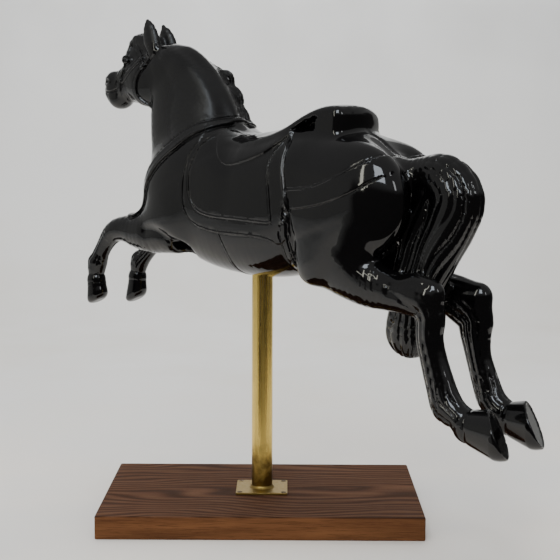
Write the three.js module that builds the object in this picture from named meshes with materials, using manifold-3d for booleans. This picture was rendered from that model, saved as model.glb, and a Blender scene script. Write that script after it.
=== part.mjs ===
// A leaping carousel horse on a brass pole and an oak board. Millimetres, +Z up.
// The origin is the centre of the board's underside, on the pole's axis, with the board's long side along X.
import * as THREE from "three";
import { surfaceNet } from "three/addons/libs/surfaceNet.js";
import { MeshoptSimplifier } from "three/addons/libs/meshopt_simplifier.module.js";
import Module from "manifold-3d";

// ---------- driving dimensions ----------
const BOARD_LENGTH = 473;
const BOARD_WIDTH = 314;
const BOARD_HEIGHT = 34;
const BOARD_EASE = 1.6; // radius worn on the board's edges
const PLATE_SIDE = 78;
const PLATE_THICK = 3.2;
const PLATE_CORNER = 2.5;
const COLLAR_HEIGHT = 3.6; // soldered bead round the pole's foot
const COLLAR_SPREAD = 3.4;
const POLE_DIAMETER = 31.75;
const POLE_WALL = 1.6;
const POLE_TOP = 426; // the pole ends inside the horse
const SCREW_SPACING = 66;
const SCREW_HEAD = 8.4;
const SCREW_HEAD_DEPTH = 2.4;
const SCREW_SHANK = 3.8;
const SCREW_LENGTH = 20;
const SLOT_WIDTH = 1.2;
const FIT = 0.3; // gap kept between touching pieces
const HEADING = 142; // degrees from +X to the way the horse faces
const HORSE_RAISE = 2; // the horse's own z = 0 lies this far above the floor
const CELL = 5.5; // spacing of the grid the carved body is cut on
const HORSE_TRIANGLES = 7400;

const LEG_SPREAD = 48; // each leg's distance from the middle plane
const EAR_SPREAD = 20;
const FAR = 60; // distances are not followed past this

// ---------- the horse's skeleton ----------
// In the horse's own frame: x forward, y to its left, z up, the pole's axis at x = 0.
// A limb is a row of stations [x, z, radius in the side view, half width].
// side: 0 once on the middle plane, 1 on both sides, 2 left only, -2 right only.
const LIMBS = {
  trunk: {
    blend: 0,
    side: 0,
    y: 0,
    section: 2.6,
    stations: [
      [140, 474, 66, 56],
      [108, 479, 80, 70],
      [60, 472, 99, 80],
      [0, 467, 103.5, 85],
      [-60, 472, 105.5, 87],
      [-120, 491, 96.5, 84],
      [-162, 501, 83, 68],
      [-196, 500, 63, 47],
      [-226, 497, 44, 32],
    ],
  },
  neck: {
    blend: 44,
    side: 0,
    y: 0,
    section: 3.6,
    stations: [
      [100, 505, 79, 62],
      [127, 559, 76, 48],
      [137, 600, 72.5, 40],
      [150, 634, 57.5, 35],
      [167, 663, 41, 29],
      [184, 682, 26.5, 21],
    ],
  },
  crest: {
    blend: 24,
    side: 0,
    y: 3,
    stations: [
      [168, 700, 8, 8],
      [146, 700, 7, 6.5],
      [126.5, 689.6, 7, 6],
      [111, 676, 7, 6],
      [101.5, 665.7, 7, 6],
      [93.8, 652, 7, 6],
      [85.8, 640, 7, 6],
      [77.7, 629.5, 7, 6],
      [69.7, 619, 7, 6],
      [63.8, 610, 7, 6],
      [58, 599.5, 7, 6],
      [52.3, 588, 7, 6],
      [51, 574, 7, 6],
    ],
  },
  foreLeft: {
    blend: 20,
    side: 2,
    y: LEG_SPREAD,
    stations: [
      [122, 446, 42, 30],
      [168, 426, 36.5, 27],
      [206, 421.5, 28.5, 23],
      [237, 424, 21.5, 19],
      [258, 422, 18.5, 18],
      [273, 413, 16.5, 16],
      [286, 399, 13.5, 13.5],
      [297, 383, 13, 13],
      [306, 367, 16.5, 15.5],
      [309, 350, 14, 13],
      [309, 338, 14.5, 14],
    ],
  },
  foreRight: {
    blend: 20,
    side: -2,
    y: LEG_SPREAD,
    stations: [
      [122, 446, 42, 30],
      [166, 425, 36, 27],
      [199, 418, 28, 23],
      [225, 414, 23.5, 19],
      [244, 410, 20, 18],
      [260, 401, 17.5, 16],
      [275, 389, 14, 13.5],
      [288, 377, 13.5, 13],
      [303, 364, 16.5, 15.5],
      [308, 348, 14, 13],
      [310, 336, 15, 14],
    ],
  },
  hindLeft: {
    blend: 13,
    side: 2,
    y: LEG_SPREAD,
    stations: [
      [-166, 450, 76, 38],
      [-180, 413, 59, 33],
      [-206, 384, 41, 28],
      [-232, 370, 33.5, 25],
      [-258, 363.5, 28.5, 22.5],
      [-290, 358, 26, 21],
      [-317, 351.5, 25, 19.5],
      [-329, 332, 21.5, 17.5],
      [-328, 305, 19.5, 16.5],
      [-335, 275, 19.5, 16],
      [-347.5, 238, 21.5, 17],
      [-358, 214, 23.5, 18.5],
      [-374, 204, 18.5, 19],
      [-388, 194.5, 20, 19],
    ],
  },
  hindRight: {
    blend: 13,
    side: -2,
    y: LEG_SPREAD,
    stations: [
      [-166, 450, 76, 38],
      [-180, 413, 59, 33],
      [-206, 384, 41, 28],
      [-232, 371, 33, 25],
      [-262, 362, 30, 22.5],
      [-296, 354, 29.5, 21],
      [-321, 341, 30, 20],
      [-341, 323, 28, 18],
      [-343, 300, 23.5, 16.5],
      [-348, 270, 19, 15],
      [-359.5, 236, 20, 16],
      [-370, 211, 21, 18],
      [-384, 198, 20, 19],
      [-396, 190, 22, 19],
    ],
  },
  pointLeft: {
    blend: 8,
    side: 2,
    y: LEG_SPREAD,
    stations: [
      [-322, 352, 18, 14],
      [-338, 372, 12, 10],
    ],
  },
  pointRight: {
    blend: 8,
    side: -2,
    y: LEG_SPREAD,
    stations: [
      [-332, 346, 18, 14],
      [-350, 361, 13, 10],
    ],
  },
  head: {
    blend: 20,
    side: 0,
    y: 0,
    stations: [
      [190, 680, 28, 23],
      [214, 670, 40, 29],
      [240, 663, 40.5, 29],
      [266, 657, 32.5, 24],
      [288, 650.5, 27, 20],
      [301, 646, 23, 20],
      [308, 643, 19.5, 17],
    ],
  },
  tail: {
    blend: 20,
    side: 0,
    y: 0,
    locks: { count: 9, depth: 3, from: 62 },
    stations: [
      [-235, 518, 22, 16],
      [-262, 519, 22, 17],
      [-290, 518, 28, 20],
      [-319, 511, 38, 26],
      [-338, 487, 40.5, 30],
      [-330, 453, 36, 31],
      [-311, 418, 33.5, 30],
      [-294, 384, 32.5, 28],
      [-279, 350, 34, 26],
      [-269, 319, 38, 26],
      [-266, 301, 38, 24],
    ],
  },
  tailLock: {
    blend: 24,
    side: 0,
    y: 0,
    stations: [
      [-296, 486, 16, 18],
      [-282, 450, 20, 22],
      [-270, 415, 22, 24],
      [-262, 386, 20, 24],
    ],
  },
  forelock: {
    blend: 5,
    side: 0,
    y: 0,
    stations: [
      [220, 714, 14, 16],
      [240, 720, 13, 14],
      [255, 722, 11.5, 12],
      [265, 717, 8.5, 10],
    ],
  },
  earLeft: {
    blend: 4,
    side: 2,
    y: EAR_SPREAD,
    stations: [
      [206, 706, 11, 8],
      [212, 722, 12.5, 8],
      [216, 739, 9.5, 6.5],
      [217, 750.5, 3, 3],
    ],
  },
  earRight: {
    blend: 4,
    side: -2,
    y: EAR_SPREAD - 4,
    stations: [
      [203, 701, 11, 8],
      [209, 717, 12.5, 8],
      [215, 732, 9.5, 6.5],
      [217, 744, 3, 3],
    ],
  },
};
// Muscles and features: centre [x, y, z], radii [x, y, z], tilt in degrees in the side view.
const MASSES = {
  haunch: { blend: 16, side: 1, centre: [-194, 45, 481], radii: [93, 43, 86], tilt: 0 },
  shoulder: { blend: 26, side: 1, centre: [124, 42, 476], radii: [60, 34, 80], tilt: 10 },
  stifle: { blend: 16, side: 1, centre: [-150, 58, 401], radii: [33, 23, 42], tilt: 35 },
  throat: { blend: 18, side: 0, centre: [204, 0, 599], radii: [21, 15, 31], tilt: 0 },
  cheek: { blend: 10, side: 1, centre: [226, 15, 653], radii: [30, 16, 34], tilt: 0 },
  chin: { blend: 8, side: 0, centre: [296, 0, 629], radii: [20, 18, 15], tilt: 0 },
  muzzle: { blend: 6, side: 1, centre: [305, 7, 660], radii: [16, 11, 15], tilt: 0 },
  brow: { blend: 10, side: 0, centre: [256, 0, 695], radii: [25, 18, 15], tilt: 0 },
  eye: { blend: 5, side: 1, centre: [256, 20, 691], radii: [9, 6, 7.5], tilt: 0 },
};
// A hoof widens from the coronet to a flat sole: [x, z, radius] at each, and the way the sole faces.
const HOOVES = {
  foreLeft: {
    blend: 5,
    side: 2,
    coronet: [309, 337, 15],
    sole: [305, 304, 19.5],
    facing: [-0.45, -0.893],
    flatness: 0.92,
    rim: 4,
  },
  foreRight: {
    blend: 5,
    side: -2,
    coronet: [310, 333, 15],
    sole: [312, 297, 20],
    facing: [-0.45, -0.893],
    flatness: 0.92,
    rim: 4,
  },
  hindLeft: {
    blend: 4,
    side: 2,
    coronet: [-391, 191, 23.5],
    sole: [-436.5, 186.5, 35],
    facing: [-0.877, 0.48],
    flatness: 0.8,
    rim: 3,
  },
  hindRight: {
    blend: 4,
    side: -2,
    coronet: [-399, 187, 24],
    sole: [-438, 184.5, 35],
    facing: [-0.877, 0.48],
    flatness: 0.8,
    rim: 3,
  },
};

// ---------- outlines in the side view, [x, z] ----------
const SADDLE_PROFILE = [
  [60, 552], [40, 561], [15, 564], [-10, 562], [-35, 565], [-62, 574], [-80, 582], [-96, 590],
  [-115, 600], [-135, 609], [-155, 615], [-172, 616], [-184, 613], [-189, 604], [-189, 590],
  [-186, 574], [-184, 552], [-90, 548], [0, 528], [50, 528],
];
// the hollow cut into each flank of the cantle
const RECESS_PROFILE = [
  [-98, 580], [-126, 595], [-152, 604], [-147, 592], [-146, 582], [-122, 578],
];
const NAPE_OUTLINE = [
  [206, 700], [180, 704], [150, 702], [126, 692], [108, 678], [97, 667], [89, 653.5], [81, 641.5],
  [73, 631], [65, 620.5], [59, 611.5], [53, 600.5], [48, 589], [46, 578], [60, 574], [76, 578],
  [100, 590], [112, 606], [120, 620], [128, 632], [136, 640], [146, 652], [158, 658], [168, 670],
  [184, 676], [200, 690],
];
const MANE_OUTLINE = [
  [206, 700], [184, 700], [160, 694], [136, 684], [121, 676], [107, 670], [96, 669], [88, 660],
  [88, 647], [77, 641], [70, 628], [72, 617], [60, 606], [54, 592], [60, 580], [76, 578],
  [100, 590], [112, 606], [120, 620], [128, 632], [136, 640], [146, 652], [158, 658], [168, 670],
  [184, 676], [200, 690],
];
const BLANKET_OUTLINE = [
  [65, 569], [83, 548], [87, 513], [87, 478], [83, 458], [66, 439], [29, 431], [0, 429],
  [-41, 429], [-73, 426], [-95, 417], [-112, 430], [-118, 461], [-116, 470], [-110, 489],
  [-102, 518], [-98, 544], [-100, 560], [-106, 600], [0, 640], [60, 620],
];
const BREECHING_OUTLINE = [
  [-112, 497], [-152, 500], [-178, 510], [-205, 522], [-235, 538], [-245, 543], [-270, 552],
  [-280, 530], [-264, 519], [-255, 516], [-240, 507], [-228, 499], [-196, 485], [-166, 476],
  [-122, 469], [-105, 469],
];
const BREAST_COLLAR_OUTLINE = [
  [40, 600], [51, 597], [91, 586], [129, 561], [167, 532], [184, 506], [200, 480], [235, 450],
  [215, 440], [183, 472], [176, 495], [152, 524], [112, 554], [87, 573], [45, 588],
];
const BLANKET_RISE = 2.8;
const BREECHING_RISE = 2.4;
const COLLAR_RISE = 3.6;
const SADDLE_HALF_WIDTH = [[-190, 51], [-140, 53], [-90, 58], [-40, 62], [20, 56], [60, 38]];
const SADDLE_BOW = 0.0045; // how fast the cantle falls away to its ends
const SADDLE_TWIST = 0.09; // the cantle stands a little higher on the left
const SADDLE_DROP = 0.55;
const SADDLE_EDGE = 12;
const SADDLE_BLEND = 9;
const CANTLE_START = -60;
const CANTLE_RUN = 80;
const RECESS_INSIDE = 34; // how near the middle plane the cantle's hollows reach
const RECESS_EDGE = 2;
const MANE_OFFSET = -17;
const MANE_HALF = 22;
const MANE_EDGE = 8;
const MANE_BLEND = 3;
const MANE_TURN = 13; // how far to the right the plain edge turns into lobes
const CREST_WAY = [0.64, 0.77]; // down along the crest
const MANE_LEAN = 0.6;
const MANE_FAN = 0.36;
const MANE_LOCK_WIDTH = 14;
const MANE_LOCK_DEPTH = 2;
const LOCK_SWAY = 0.4;
const LOCK_WAVE = 41;
const LOCK_GROOVE = 0.2; // half width of a groove as a share of a lock
const LOCK_RISE = 26; // the way over which the grooves deepen
const GROOVE_CLEAR = 5; // grooves fade out this near to other forms

// ---------- distance helpers ----------
const clamp = (value, low, high) => Math.min(high, Math.max(low, value));

function joinSmooth(a, b, blend) {
  if (blend <= 0) return Math.min(a, b);
  const h = Math.max(blend - Math.abs(a - b), 0) / blend;
  return Math.min(a, b) - (h * h * blend) / 4;
}

function meetSmooth(a, b, blend) {
  return -joinSmooth(-a, -b, blend);
}

function riseStep(value, width) {
  const t = clamp(value / width + 0.5, 0, 1);
  return t * t * (3 - 2 * t);
}

function alongTable(table, x) {
  if (x <= table[0][0]) return table[0][1];
  for (let i = 1; i < table.length; i++) {
    const [x1, v1] = table[i];
    const [x0, v0] = table[i - 1];
    if (x <= x1) return v0 + ((v1 - v0) * (x - x0)) / (x1 - x0);
  }
  return table[table.length - 1][1];
}

// Stations drawn through with a smooth curve, about every 9 mm.
function smoothStations(stations) {
  const n = stations.length;
  const at = (i) => {
    if (i < 0) return stations[0].map((v, k) => 2 * v - stations[1][k]);
    if (i >= n) return stations[n - 1].map((v, k) => 2 * v - stations[n - 2][k]);
    return stations[i];
  };
  const out = [];
  for (let i = 0; i < n - 1; i++) {
    const [p0, p1, p2, p3] = [at(i - 1), at(i), at(i + 1), at(i + 2)];
    const steps = n === 2 ? 2 : Math.max(1, Math.round(Math.hypot(p2[0] - p1[0], p2[1] - p1[1]) / 9));
    for (let s = 0; s < steps; s++) {
      const t = s / steps;
      out.push(
        p1.map((v, k) => {
          const slope = p2[k] - p0[k];
          const bend = 2 * p0[k] - 5 * v + 4 * p2[k] - p3[k];
          const twist = -p0[k] + 3 * v - 3 * p2[k] + p3[k];
          return 0.5 * (2 * v + slope * t + bend * t * t + twist * t * t * t);
        }),
      );
    }
  }
  out.push(stations[n - 1]);
  return out;
}

// A limb made ready: short tapering pieces with an oval section, and a box round them all.
function readyLimb(limb) {
  const path = smoothStations(limb.stations);
  const pieces = [];
  let run = 0;
  const box = [Infinity, Infinity, Infinity, -Infinity, -Infinity, -Infinity];
  for (let i = 0; i < path.length - 1; i++) {
    const [ax, az, ar, aw] = path[i];
    const [bx, bz, br, bw] = path[i + 1];
    const length2 = (bx - ax) ** 2 + (bz - az) ** 2;
    pieces.push({ ax, az, ar, aw, vx: bx - ax, vz: bz - az, dr: br - ar, dw: bw - aw, length2, run });
    run += Math.sqrt(length2);
  }
  for (const [x, z, r, w] of path) {
    box[0] = Math.min(box[0], x - r);
    box[1] = Math.min(box[1], limb.y - w);
    box[2] = Math.min(box[2], z - r);
    box[3] = Math.max(box[3], x + r);
    box[4] = Math.max(box[4], limb.y + w);
    box[5] = Math.max(box[5], z + r);
  }
  return { ...limb, pieces, box };
}

function outsideBox(box, x, y, z) {
  return (
    x < box[0] - FAR ||
    x > box[3] + FAR ||
    y < box[1] - FAR ||
    y > box[4] + FAR ||
    z < box[2] - FAR ||
    z > box[5] + FAR
  );
}

// An oval section of radius r in the side view and half width w; a higher power makes it boxier.
function ovalDistance(dx, dy, dz, r, w, power) {
  const flat = Math.sqrt(dx * dx + dz * dz) / r;
  const wide = Math.abs(dy) / w;
  let reach = Math.sqrt(flat * flat + wide * wide) + 1e-9;
  let grade = Math.sqrt((flat / r) ** 2 + (wide / w) ** 2) / reach;
  if (power > 2) {
    const less = power - 1;
    reach = (flat ** power + wide ** power) ** (1 / power) + 1e-9;
    grade = Math.sqrt((flat ** less / r) ** 2 + (wide ** less / w) ** 2) / reach ** less;
  }
  return (reach - 1) / Math.max(grade, 0.3 / r);
}

// How deep the grooves between carved locks go, at a place along a limb and an angle round it.
function lockGroove(locks, run, turn) {
  const place = (locks.count * turn) / (2 * Math.PI) + LOCK_SWAY * Math.sin(run / LOCK_WAVE + turn + 0.6);
  const off = Math.abs(place - Math.round(place));
  return locks.depth * Math.exp(-((off / LOCK_GROOVE) ** 2)) * riseStep(run - locks.from, LOCK_RISE);
}

// The distance to a limb, and the depth of any groove there.
function nearLimb(limb, x, y, z) {
  if (outsideBox(limb.box, x, y, z)) return [FAR, 0];
  let best = FAR;
  let groove = 0;
  const dy = y - limb.y;
  for (const p of limb.pieces) {
    const gx = x - p.ax;
    const gz = z - p.az;
    const t = clamp((gx * p.vx + gz * p.vz) / p.length2, 0, 1);
    const dx = gx - t * p.vx;
    const dz = gz - t * p.vz;
    const r = p.ar + t * p.dr;
    const w = p.aw + t * p.dw;
    const d = ovalDistance(dx, dy, dz, r, w, limb.section ?? 2);
    if (d >= best) continue;
    best = d;
    if (!limb.locks || d > 14) continue;
    const across = (dx * p.vz - dz * p.vx) / (r * Math.sqrt(p.length2));
    groove = lockGroove(limb.locks, p.run + t * Math.sqrt(p.length2), Math.atan2(dy / w, across));
  }
  return [best, groove];
}

function massDistance(mass, x, y, z) {
  const a = (mass.tilt * Math.PI) / 180;
  const dx = x - mass.centre[0];
  const dz = z - mass.centre[2];
  const px = dx * Math.cos(a) + dz * Math.sin(a);
  const pz = dz * Math.cos(a) - dx * Math.sin(a);
  const py = y - mass.centre[1];
  const [rx, ry, rz] = mass.radii;
  const near = Math.hypot(px / rx, py / ry, pz / rz) + 1e-9;
  const grade = Math.hypot(px / rx ** 2, py / ry ** 2, pz / rz ** 2) + 1e-9;
  return Math.min((near * (near - 1)) / grade, FAR);
}

function hoofDistance(hoof, x, y, z) {
  const [ax, az, ar] = hoof.coronet;
  const [bx, bz, br] = hoof.sole;
  const vx = bx - ax;
  const vz = bz - az;
  const t = clamp(((x - ax) * vx + (z - az) * vz) / (vx * vx + vz * vz), 0, 1);
  const r = ar + t * (br - ar);
  const wall = ovalDistance(x - ax - t * vx, y - LEG_SPREAD, z - az - t * vz, r, r * hoof.flatness, 2);
  const [nx, nz] = hoof.facing;
  const size = Math.hypot(nx, nz);
  const sole = ((x - bx) * nx + (z - bz) * nz) / size;
  return Math.min(meetSmooth(wall, sole, hoof.rim), FAR);
}

// A closed outline with its corners cut twice, so that it runs round smoothly.
function roundOutline(points, times) {
  let out = points;
  for (let n = 0; n < times; n++) {
    const next = [];
    out.forEach((a, i) => {
      const b = out[(i + 1) % out.length];
      next.push([0.75 * a[0] + 0.25 * b[0], 0.75 * a[1] + 0.25 * b[1]]);
      next.push([0.25 * a[0] + 0.75 * b[0], 0.25 * a[1] + 0.75 * b[1]]);
    });
    out = next;
  }
  return out;
}

// Signed distance to a closed outline, negative inside.
function outlineDistance(outline, x, z) {
  let nearest = Infinity;
  let sign = 1;
  let j = outline.length - 1;
  for (let i = 0; i < outline.length; i++) {
    const [ix, iz] = outline[i];
    const ex = outline[j][0] - ix;
    const ez = outline[j][1] - iz;
    const wx = x - ix;
    const wz = z - iz;
    const t = clamp((wx * ex + wz * ez) / (ex * ex + ez * ez), 0, 1);
    nearest = Math.min(nearest, (wx - ex * t) ** 2 + (wz - ez * t) ** 2);
    const above = z >= iz;
    const below = z < outline[j][1];
    const left = ex * wz > ez * wx;
    if ((above && below && left) || (!above && !below && !left)) sign = -sign;
    j = i;
  }
  return sign * Math.sqrt(nearest);
}

// ---------- the carved horse ----------
const limbs = Object.fromEntries(Object.entries(LIMBS).map(([name, limb]) => [name, readyLimb(limb)]));
const saddleOutline = roundOutline(SADDLE_PROFILE, 1);
const maneOutline = roundOutline(MANE_OUTLINE, 1);
const napeOutline = roundOutline(NAPE_OUTLINE, 1);
const blanketOutline = roundOutline(BLANKET_OUTLINE, 1);
const collarOutline = roundOutline(BREAST_COLLAR_OUTLINE, 1);

function sideY(side, y) {
  if (side === 0) return y;
  if (side === 1) return Math.abs(y);
  return side > 0 ? y : -y;
}

// The seat and its cantle, which falls away to its ends, with a hollow in each flank.
function saddleDistance(x, y, z) {
  const aft = clamp((CANTLE_START - x) / CANTLE_RUN, 0, 1);
  const bow = aft * y * y * SADDLE_BOW;
  const lift = SADDLE_DROP * bow - SADDLE_TWIST * aft * y;
  const side = Math.abs(y);
  const block = meetSmooth(
    outlineDistance(saddleOutline, x - bow, z + lift),
    side - alongTable(SADDLE_HALF_WIDTH, x),
    SADDLE_EDGE,
  );
  const hollow = Math.max(outlineDistance(RECESS_PROFILE, x - bow, z + lift), RECESS_INSIDE - side);
  return meetSmooth(block, -hollow, RECESS_EDGE);
}

// The mane hangs on the right of the crest; its free edge is cut into lobes.
function maneDistance(x, y, z) {
  const over = riseStep(-y - MANE_TURN, 2 * MANE_TURN);
  const nape = outlineDistance(napeOutline, x, z);
  const lobes = outlineDistance(maneOutline, x, z);
  return meetSmooth(nape + over * (lobes - nape), Math.abs(y - MANE_OFFSET) - MANE_HALF, MANE_EDGE);
}

// Its locks run down beside the crest and fan out to the free edge.
function maneGroove(x, y, z) {
  const [top, height] = MANE_OUTLINE[0];
  const [wx, wz] = CREST_WAY;
  const down = wx * (top - x) + wz * (height - z);
  const inward = wx * (height - z) - wz * (top - x);
  const place = (MANE_LEAN * inward - y - MANE_FAN * down) / MANE_LOCK_WIDTH;
  return MANE_LOCK_DEPTH * Math.exp(-(((place - Math.round(place)) / LOCK_GROOVE) ** 2));
}

function horseDistance(x, y, z) {
  let d = FAR;
  const addLimb = (name) => {
    const limb = limbs[name];
    const [own, groove] = nearLimb(limb, x, sideY(limb.side, y), z);
    const clear = riseStep(d - own - GROOVE_CLEAR, 2 * GROOVE_CLEAR);
    d = joinSmooth(d, own, limb.blend) + groove * clear;
  };
  const addMass = (name) => {
    const mass = MASSES[name];
    d = joinSmooth(d, massDistance(mass, x, sideY(mass.side, y), z), mass.blend);
  };
  ["trunk", "neck", "crest"].forEach(addLimb);
  ["haunch", "shoulder", "stifle", "throat"].forEach(addMass);
  ["foreLeft", "foreRight", "hindLeft", "hindRight"].forEach(addLimb);
  ["pointLeft", "pointRight", "head"].forEach(addLimb);
  ["cheek", "chin", "muzzle", "brow", "eye"].forEach(addMass);
  if (Math.abs(d) < 20) {
    const underSaddle = riseStep(590 - z, 30);
    d -= BLANKET_RISE * riseStep(-outlineDistance(blanketOutline, x, z), 5) * underSaddle;
    d -= BREECHING_RISE * riseStep(-outlineDistance(BREECHING_OUTLINE, x, z), 4);
    d -= COLLAR_RISE * riseStep(-outlineDistance(collarOutline, x, z), 4);
  }
  d = joinSmooth(d, saddleDistance(x, y, z), SADDLE_BLEND);
  const hair = maneDistance(x, y, z);
  const bare = riseStep(d - hair - GROOVE_CLEAR, 2 * GROOVE_CLEAR);
  d = joinSmooth(d, hair, MANE_BLEND) + maneGroove(x, y, z) * bare;
  ["tail", "tailLock"].forEach(addLimb);
  for (const hoof of Object.values(HOOVES)) {
    d = joinSmooth(d, hoofDistance(hoof, x, sideY(hoof.side, y), z), hoof.blend);
  }
  ["earLeft", "earRight", "forelock"].forEach(addLimb);
  return d;
}

// The grid is filled block by block; blocks well clear of the surface only keep their sign.
const GRID_LOW = [-492, -116, 130];
const GRID_HIGH = [346, 116, 772];
const dims = GRID_LOW.map((low, i) => Math.ceil((GRID_HIGH[i] - low) / CELL) + 1);
const grid = new Float32Array(dims[0] * dims[1] * dims[2]);
const BLOCK = 5;

function fillGrid() {
  const reach = (BLOCK * CELL * Math.sqrt(3)) / 2;
  for (let i0 = 0; i0 < dims[0]; i0 += BLOCK)
    for (let j0 = 0; j0 < dims[1]; j0 += BLOCK)
      for (let k0 = 0; k0 < dims[2]; k0 += BLOCK) {
        const middle = [i0, j0, k0].map((c, a) => GRID_LOW[a] + (c + (BLOCK - 1) / 2) * CELL);
        const there = horseDistance(...middle);
        const skip = Math.abs(there) > reach * 1.7 + 10;
        for (let i = i0; i < Math.min(i0 + BLOCK, dims[0]); i++)
          for (let j = j0; j < Math.min(j0 + BLOCK, dims[1]); j++)
            for (let k = k0; k < Math.min(k0 + BLOCK, dims[2]); k++) {
              const x = GRID_LOW[0] + i * CELL;
              const y = GRID_LOW[1] + j * CELL;
              const z = GRID_LOW[2] + k * CELL;
              grid[(i * dims[1] + j) * dims[2] + k] = skip ? there : horseDistance(x, y, z);
            }
      }
}

// Each corner is drawn onto the true surface along the steepest way.
function settle(point) {
  const e = 0.4;
  let [x, y, z] = point;
  for (let n = 0; n < 3; n++) {
    const d = horseDistance(x, y, z);
    const gx = (horseDistance(x + e, y, z) - horseDistance(x - e, y, z)) / (2 * e);
    const gy = (horseDistance(x, y + e, z) - horseDistance(x, y - e, z)) / (2 * e);
    const gz = (horseDistance(x, y, z + e) - horseDistance(x, y, z - e)) / (2 * e);
    const g2 = Math.max(gx * gx + gy * gy + gz * gz, 0.25);
    const move = clamp(d / g2, -CELL * 0.4, CELL * 0.4) * 0.8;
    x -= move * gx;
    y -= move * gy;
    z -= move * gz;
  }
  return [x, y, z];
}

async function carveHorse() {
  fillGrid();
  const net = surfaceNet(
    dims,
    (i, j, k) => grid[(Math.round(i) * dims[1] + Math.round(j)) * dims[2] + Math.round(k)],
    [[0, 0, 0], dims],
  );
  const points = new Float32Array(net.positions.length * 3);
  net.positions.forEach((p, n) => {
    points.set(settle(p.map((c, a) => GRID_LOW[a] + c * CELL)), n * 3);
  });
  const corners = new Uint32Array(net.cells.flat());
  await MeshoptSimplifier.ready;
  const [kept] = MeshoptSimplifier.simplify(corners, points, 3, HORSE_TRIANGLES * 3, 1, []);
  const geometry = new THREE.BufferGeometry();
  geometry.setAttribute("position", new THREE.BufferAttribute(points, 3));
  geometry.setIndex(new THREE.BufferAttribute(kept, 1));
  return geometry.rotateZ((HEADING * Math.PI) / 180).translate(0, 0, HORSE_RAISE);
}

// ---------- joining and cutting ----------
const wasm = await Module();
wasm.setup();

function weld(geometry) {
  const loose = geometry.index ? geometry.toNonIndexed() : geometry;
  const source = loose.getAttribute("position");
  const seen = new Map();
  const vertices = [];
  const triangles = [];
  for (let i = 0; i < source.count; i++) {
    const p = [source.getX(i), source.getY(i), source.getZ(i)];
    const key = p.map((v) => Math.round(v * 5000)).join(",");
    if (!seen.has(key)) {
      seen.set(key, vertices.length / 3);
      vertices.push(...p);
    }
    triangles.push(seen.get(key));
  }
  const out = [];
  for (let i = 0; i < triangles.length; i += 3) {
    const [a, b, c] = triangles.slice(i, i + 3);
    if (a !== b && b !== c && c !== a) out.push(a, b, c);
  }
  return { vertices: new Float32Array(vertices), triangles: new Uint32Array(out) };
}

function solid(geometry) {
  const { vertices, triangles } = weld(geometry);
  const mesh = new wasm.Mesh({ numProp: 3, vertProperties: vertices, triVerts: triangles });
  return new wasm.Manifold(mesh);
}

function toGeometry(manifold) {
  const mesh = manifold.getMesh();
  const points = new Float32Array(mesh.numVert * 3);
  for (let i = 0; i < mesh.numVert; i++)
    for (let a = 0; a < 3; a++) points[i * 3 + a] = mesh.vertProperties[i * mesh.numProp + a];
  const geometry = new THREE.BufferGeometry();
  geometry.setAttribute("position", new THREE.BufferAttribute(points, 3));
  geometry.setIndex(new THREE.BufferAttribute(new Uint32Array(mesh.triVerts), 1));
  return geometry;
}

// A turned solid about +Z from a profile of [radius, height].
function turned(profile, around) {
  const points = profile.map(([r, z]) => new THREE.Vector2(r, z));
  return new THREE.LatheGeometry(points, around).rotateX(Math.PI / 2);
}

function roundBar(radius, low, high, around = 36) {
  return turned([[0, low], [radius, low], [radius, high], [0, high]], around);
}

function put(geometry, name, colour, roughness, metalness) {
  const material = new THREE.MeshStandardMaterial({ color: colour, roughness, metalness });
  material.name = name;
  const shaded = geometry;
  shaded.computeVertexNormals();
  const mesh = new THREE.Mesh(shaded, material);
  mesh.name = name;
  return mesh;
}

const poleRadius = POLE_DIAMETER / 2;
const plateTop = BOARD_HEIGHT + FIT + PLATE_THICK;
const poleFoot = BOARD_HEIGHT + FIT;
const screwPlaces = [-1, 1].flatMap((x) => [-1, 1].map((y) => [(x * SCREW_SPACING) / 2, (y * SCREW_SPACING) / 2]));

// A square or oblong with rounded corners, standing from low to high with eased edges.
function slab(length, width, low, high, corner, ease) {
  const shape = new THREE.Shape();
  const x = length / 2 - ease;
  const y = width / 2 - ease;
  const r = Math.max(corner - ease, 0.2);
  shape.moveTo(-x + r, -y);
  shape.lineTo(x - r, -y);
  shape.absarc(x - r, -y + r, r, -Math.PI / 2, 0);
  shape.lineTo(x, y - r);
  shape.absarc(x - r, y - r, r, 0, Math.PI / 2);
  shape.lineTo(-x + r, y);
  shape.absarc(-x + r, y - r, r, Math.PI / 2, Math.PI);
  shape.lineTo(-x, -y + r);
  shape.absarc(-x + r, -y + r, r, Math.PI, 1.5 * Math.PI);
  const geometry = new THREE.ExtrudeGeometry(shape, {
    depth: high - low - 2 * ease,
    bevelEnabled: true,
    bevelThickness: ease,
    bevelSize: ease,
    bevelSegments: 2,
    curveSegments: 2,
    steps: 1,
  });
  return geometry.translate(0, 0, low + ease);
}

// ---------- board ----------
let board = solid(slab(BOARD_LENGTH, BOARD_WIDTH, 0, BOARD_HEIGHT, 3, BOARD_EASE));
for (const [x, y] of screwPlaces) {
  const drill = roundBar(SCREW_SHANK / 2 + FIT, BOARD_HEIGHT - SCREW_LENGTH, BOARD_HEIGHT + 5, 10);
  board = board.subtract(solid(drill.translate(x, y, 0)));
}

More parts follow.
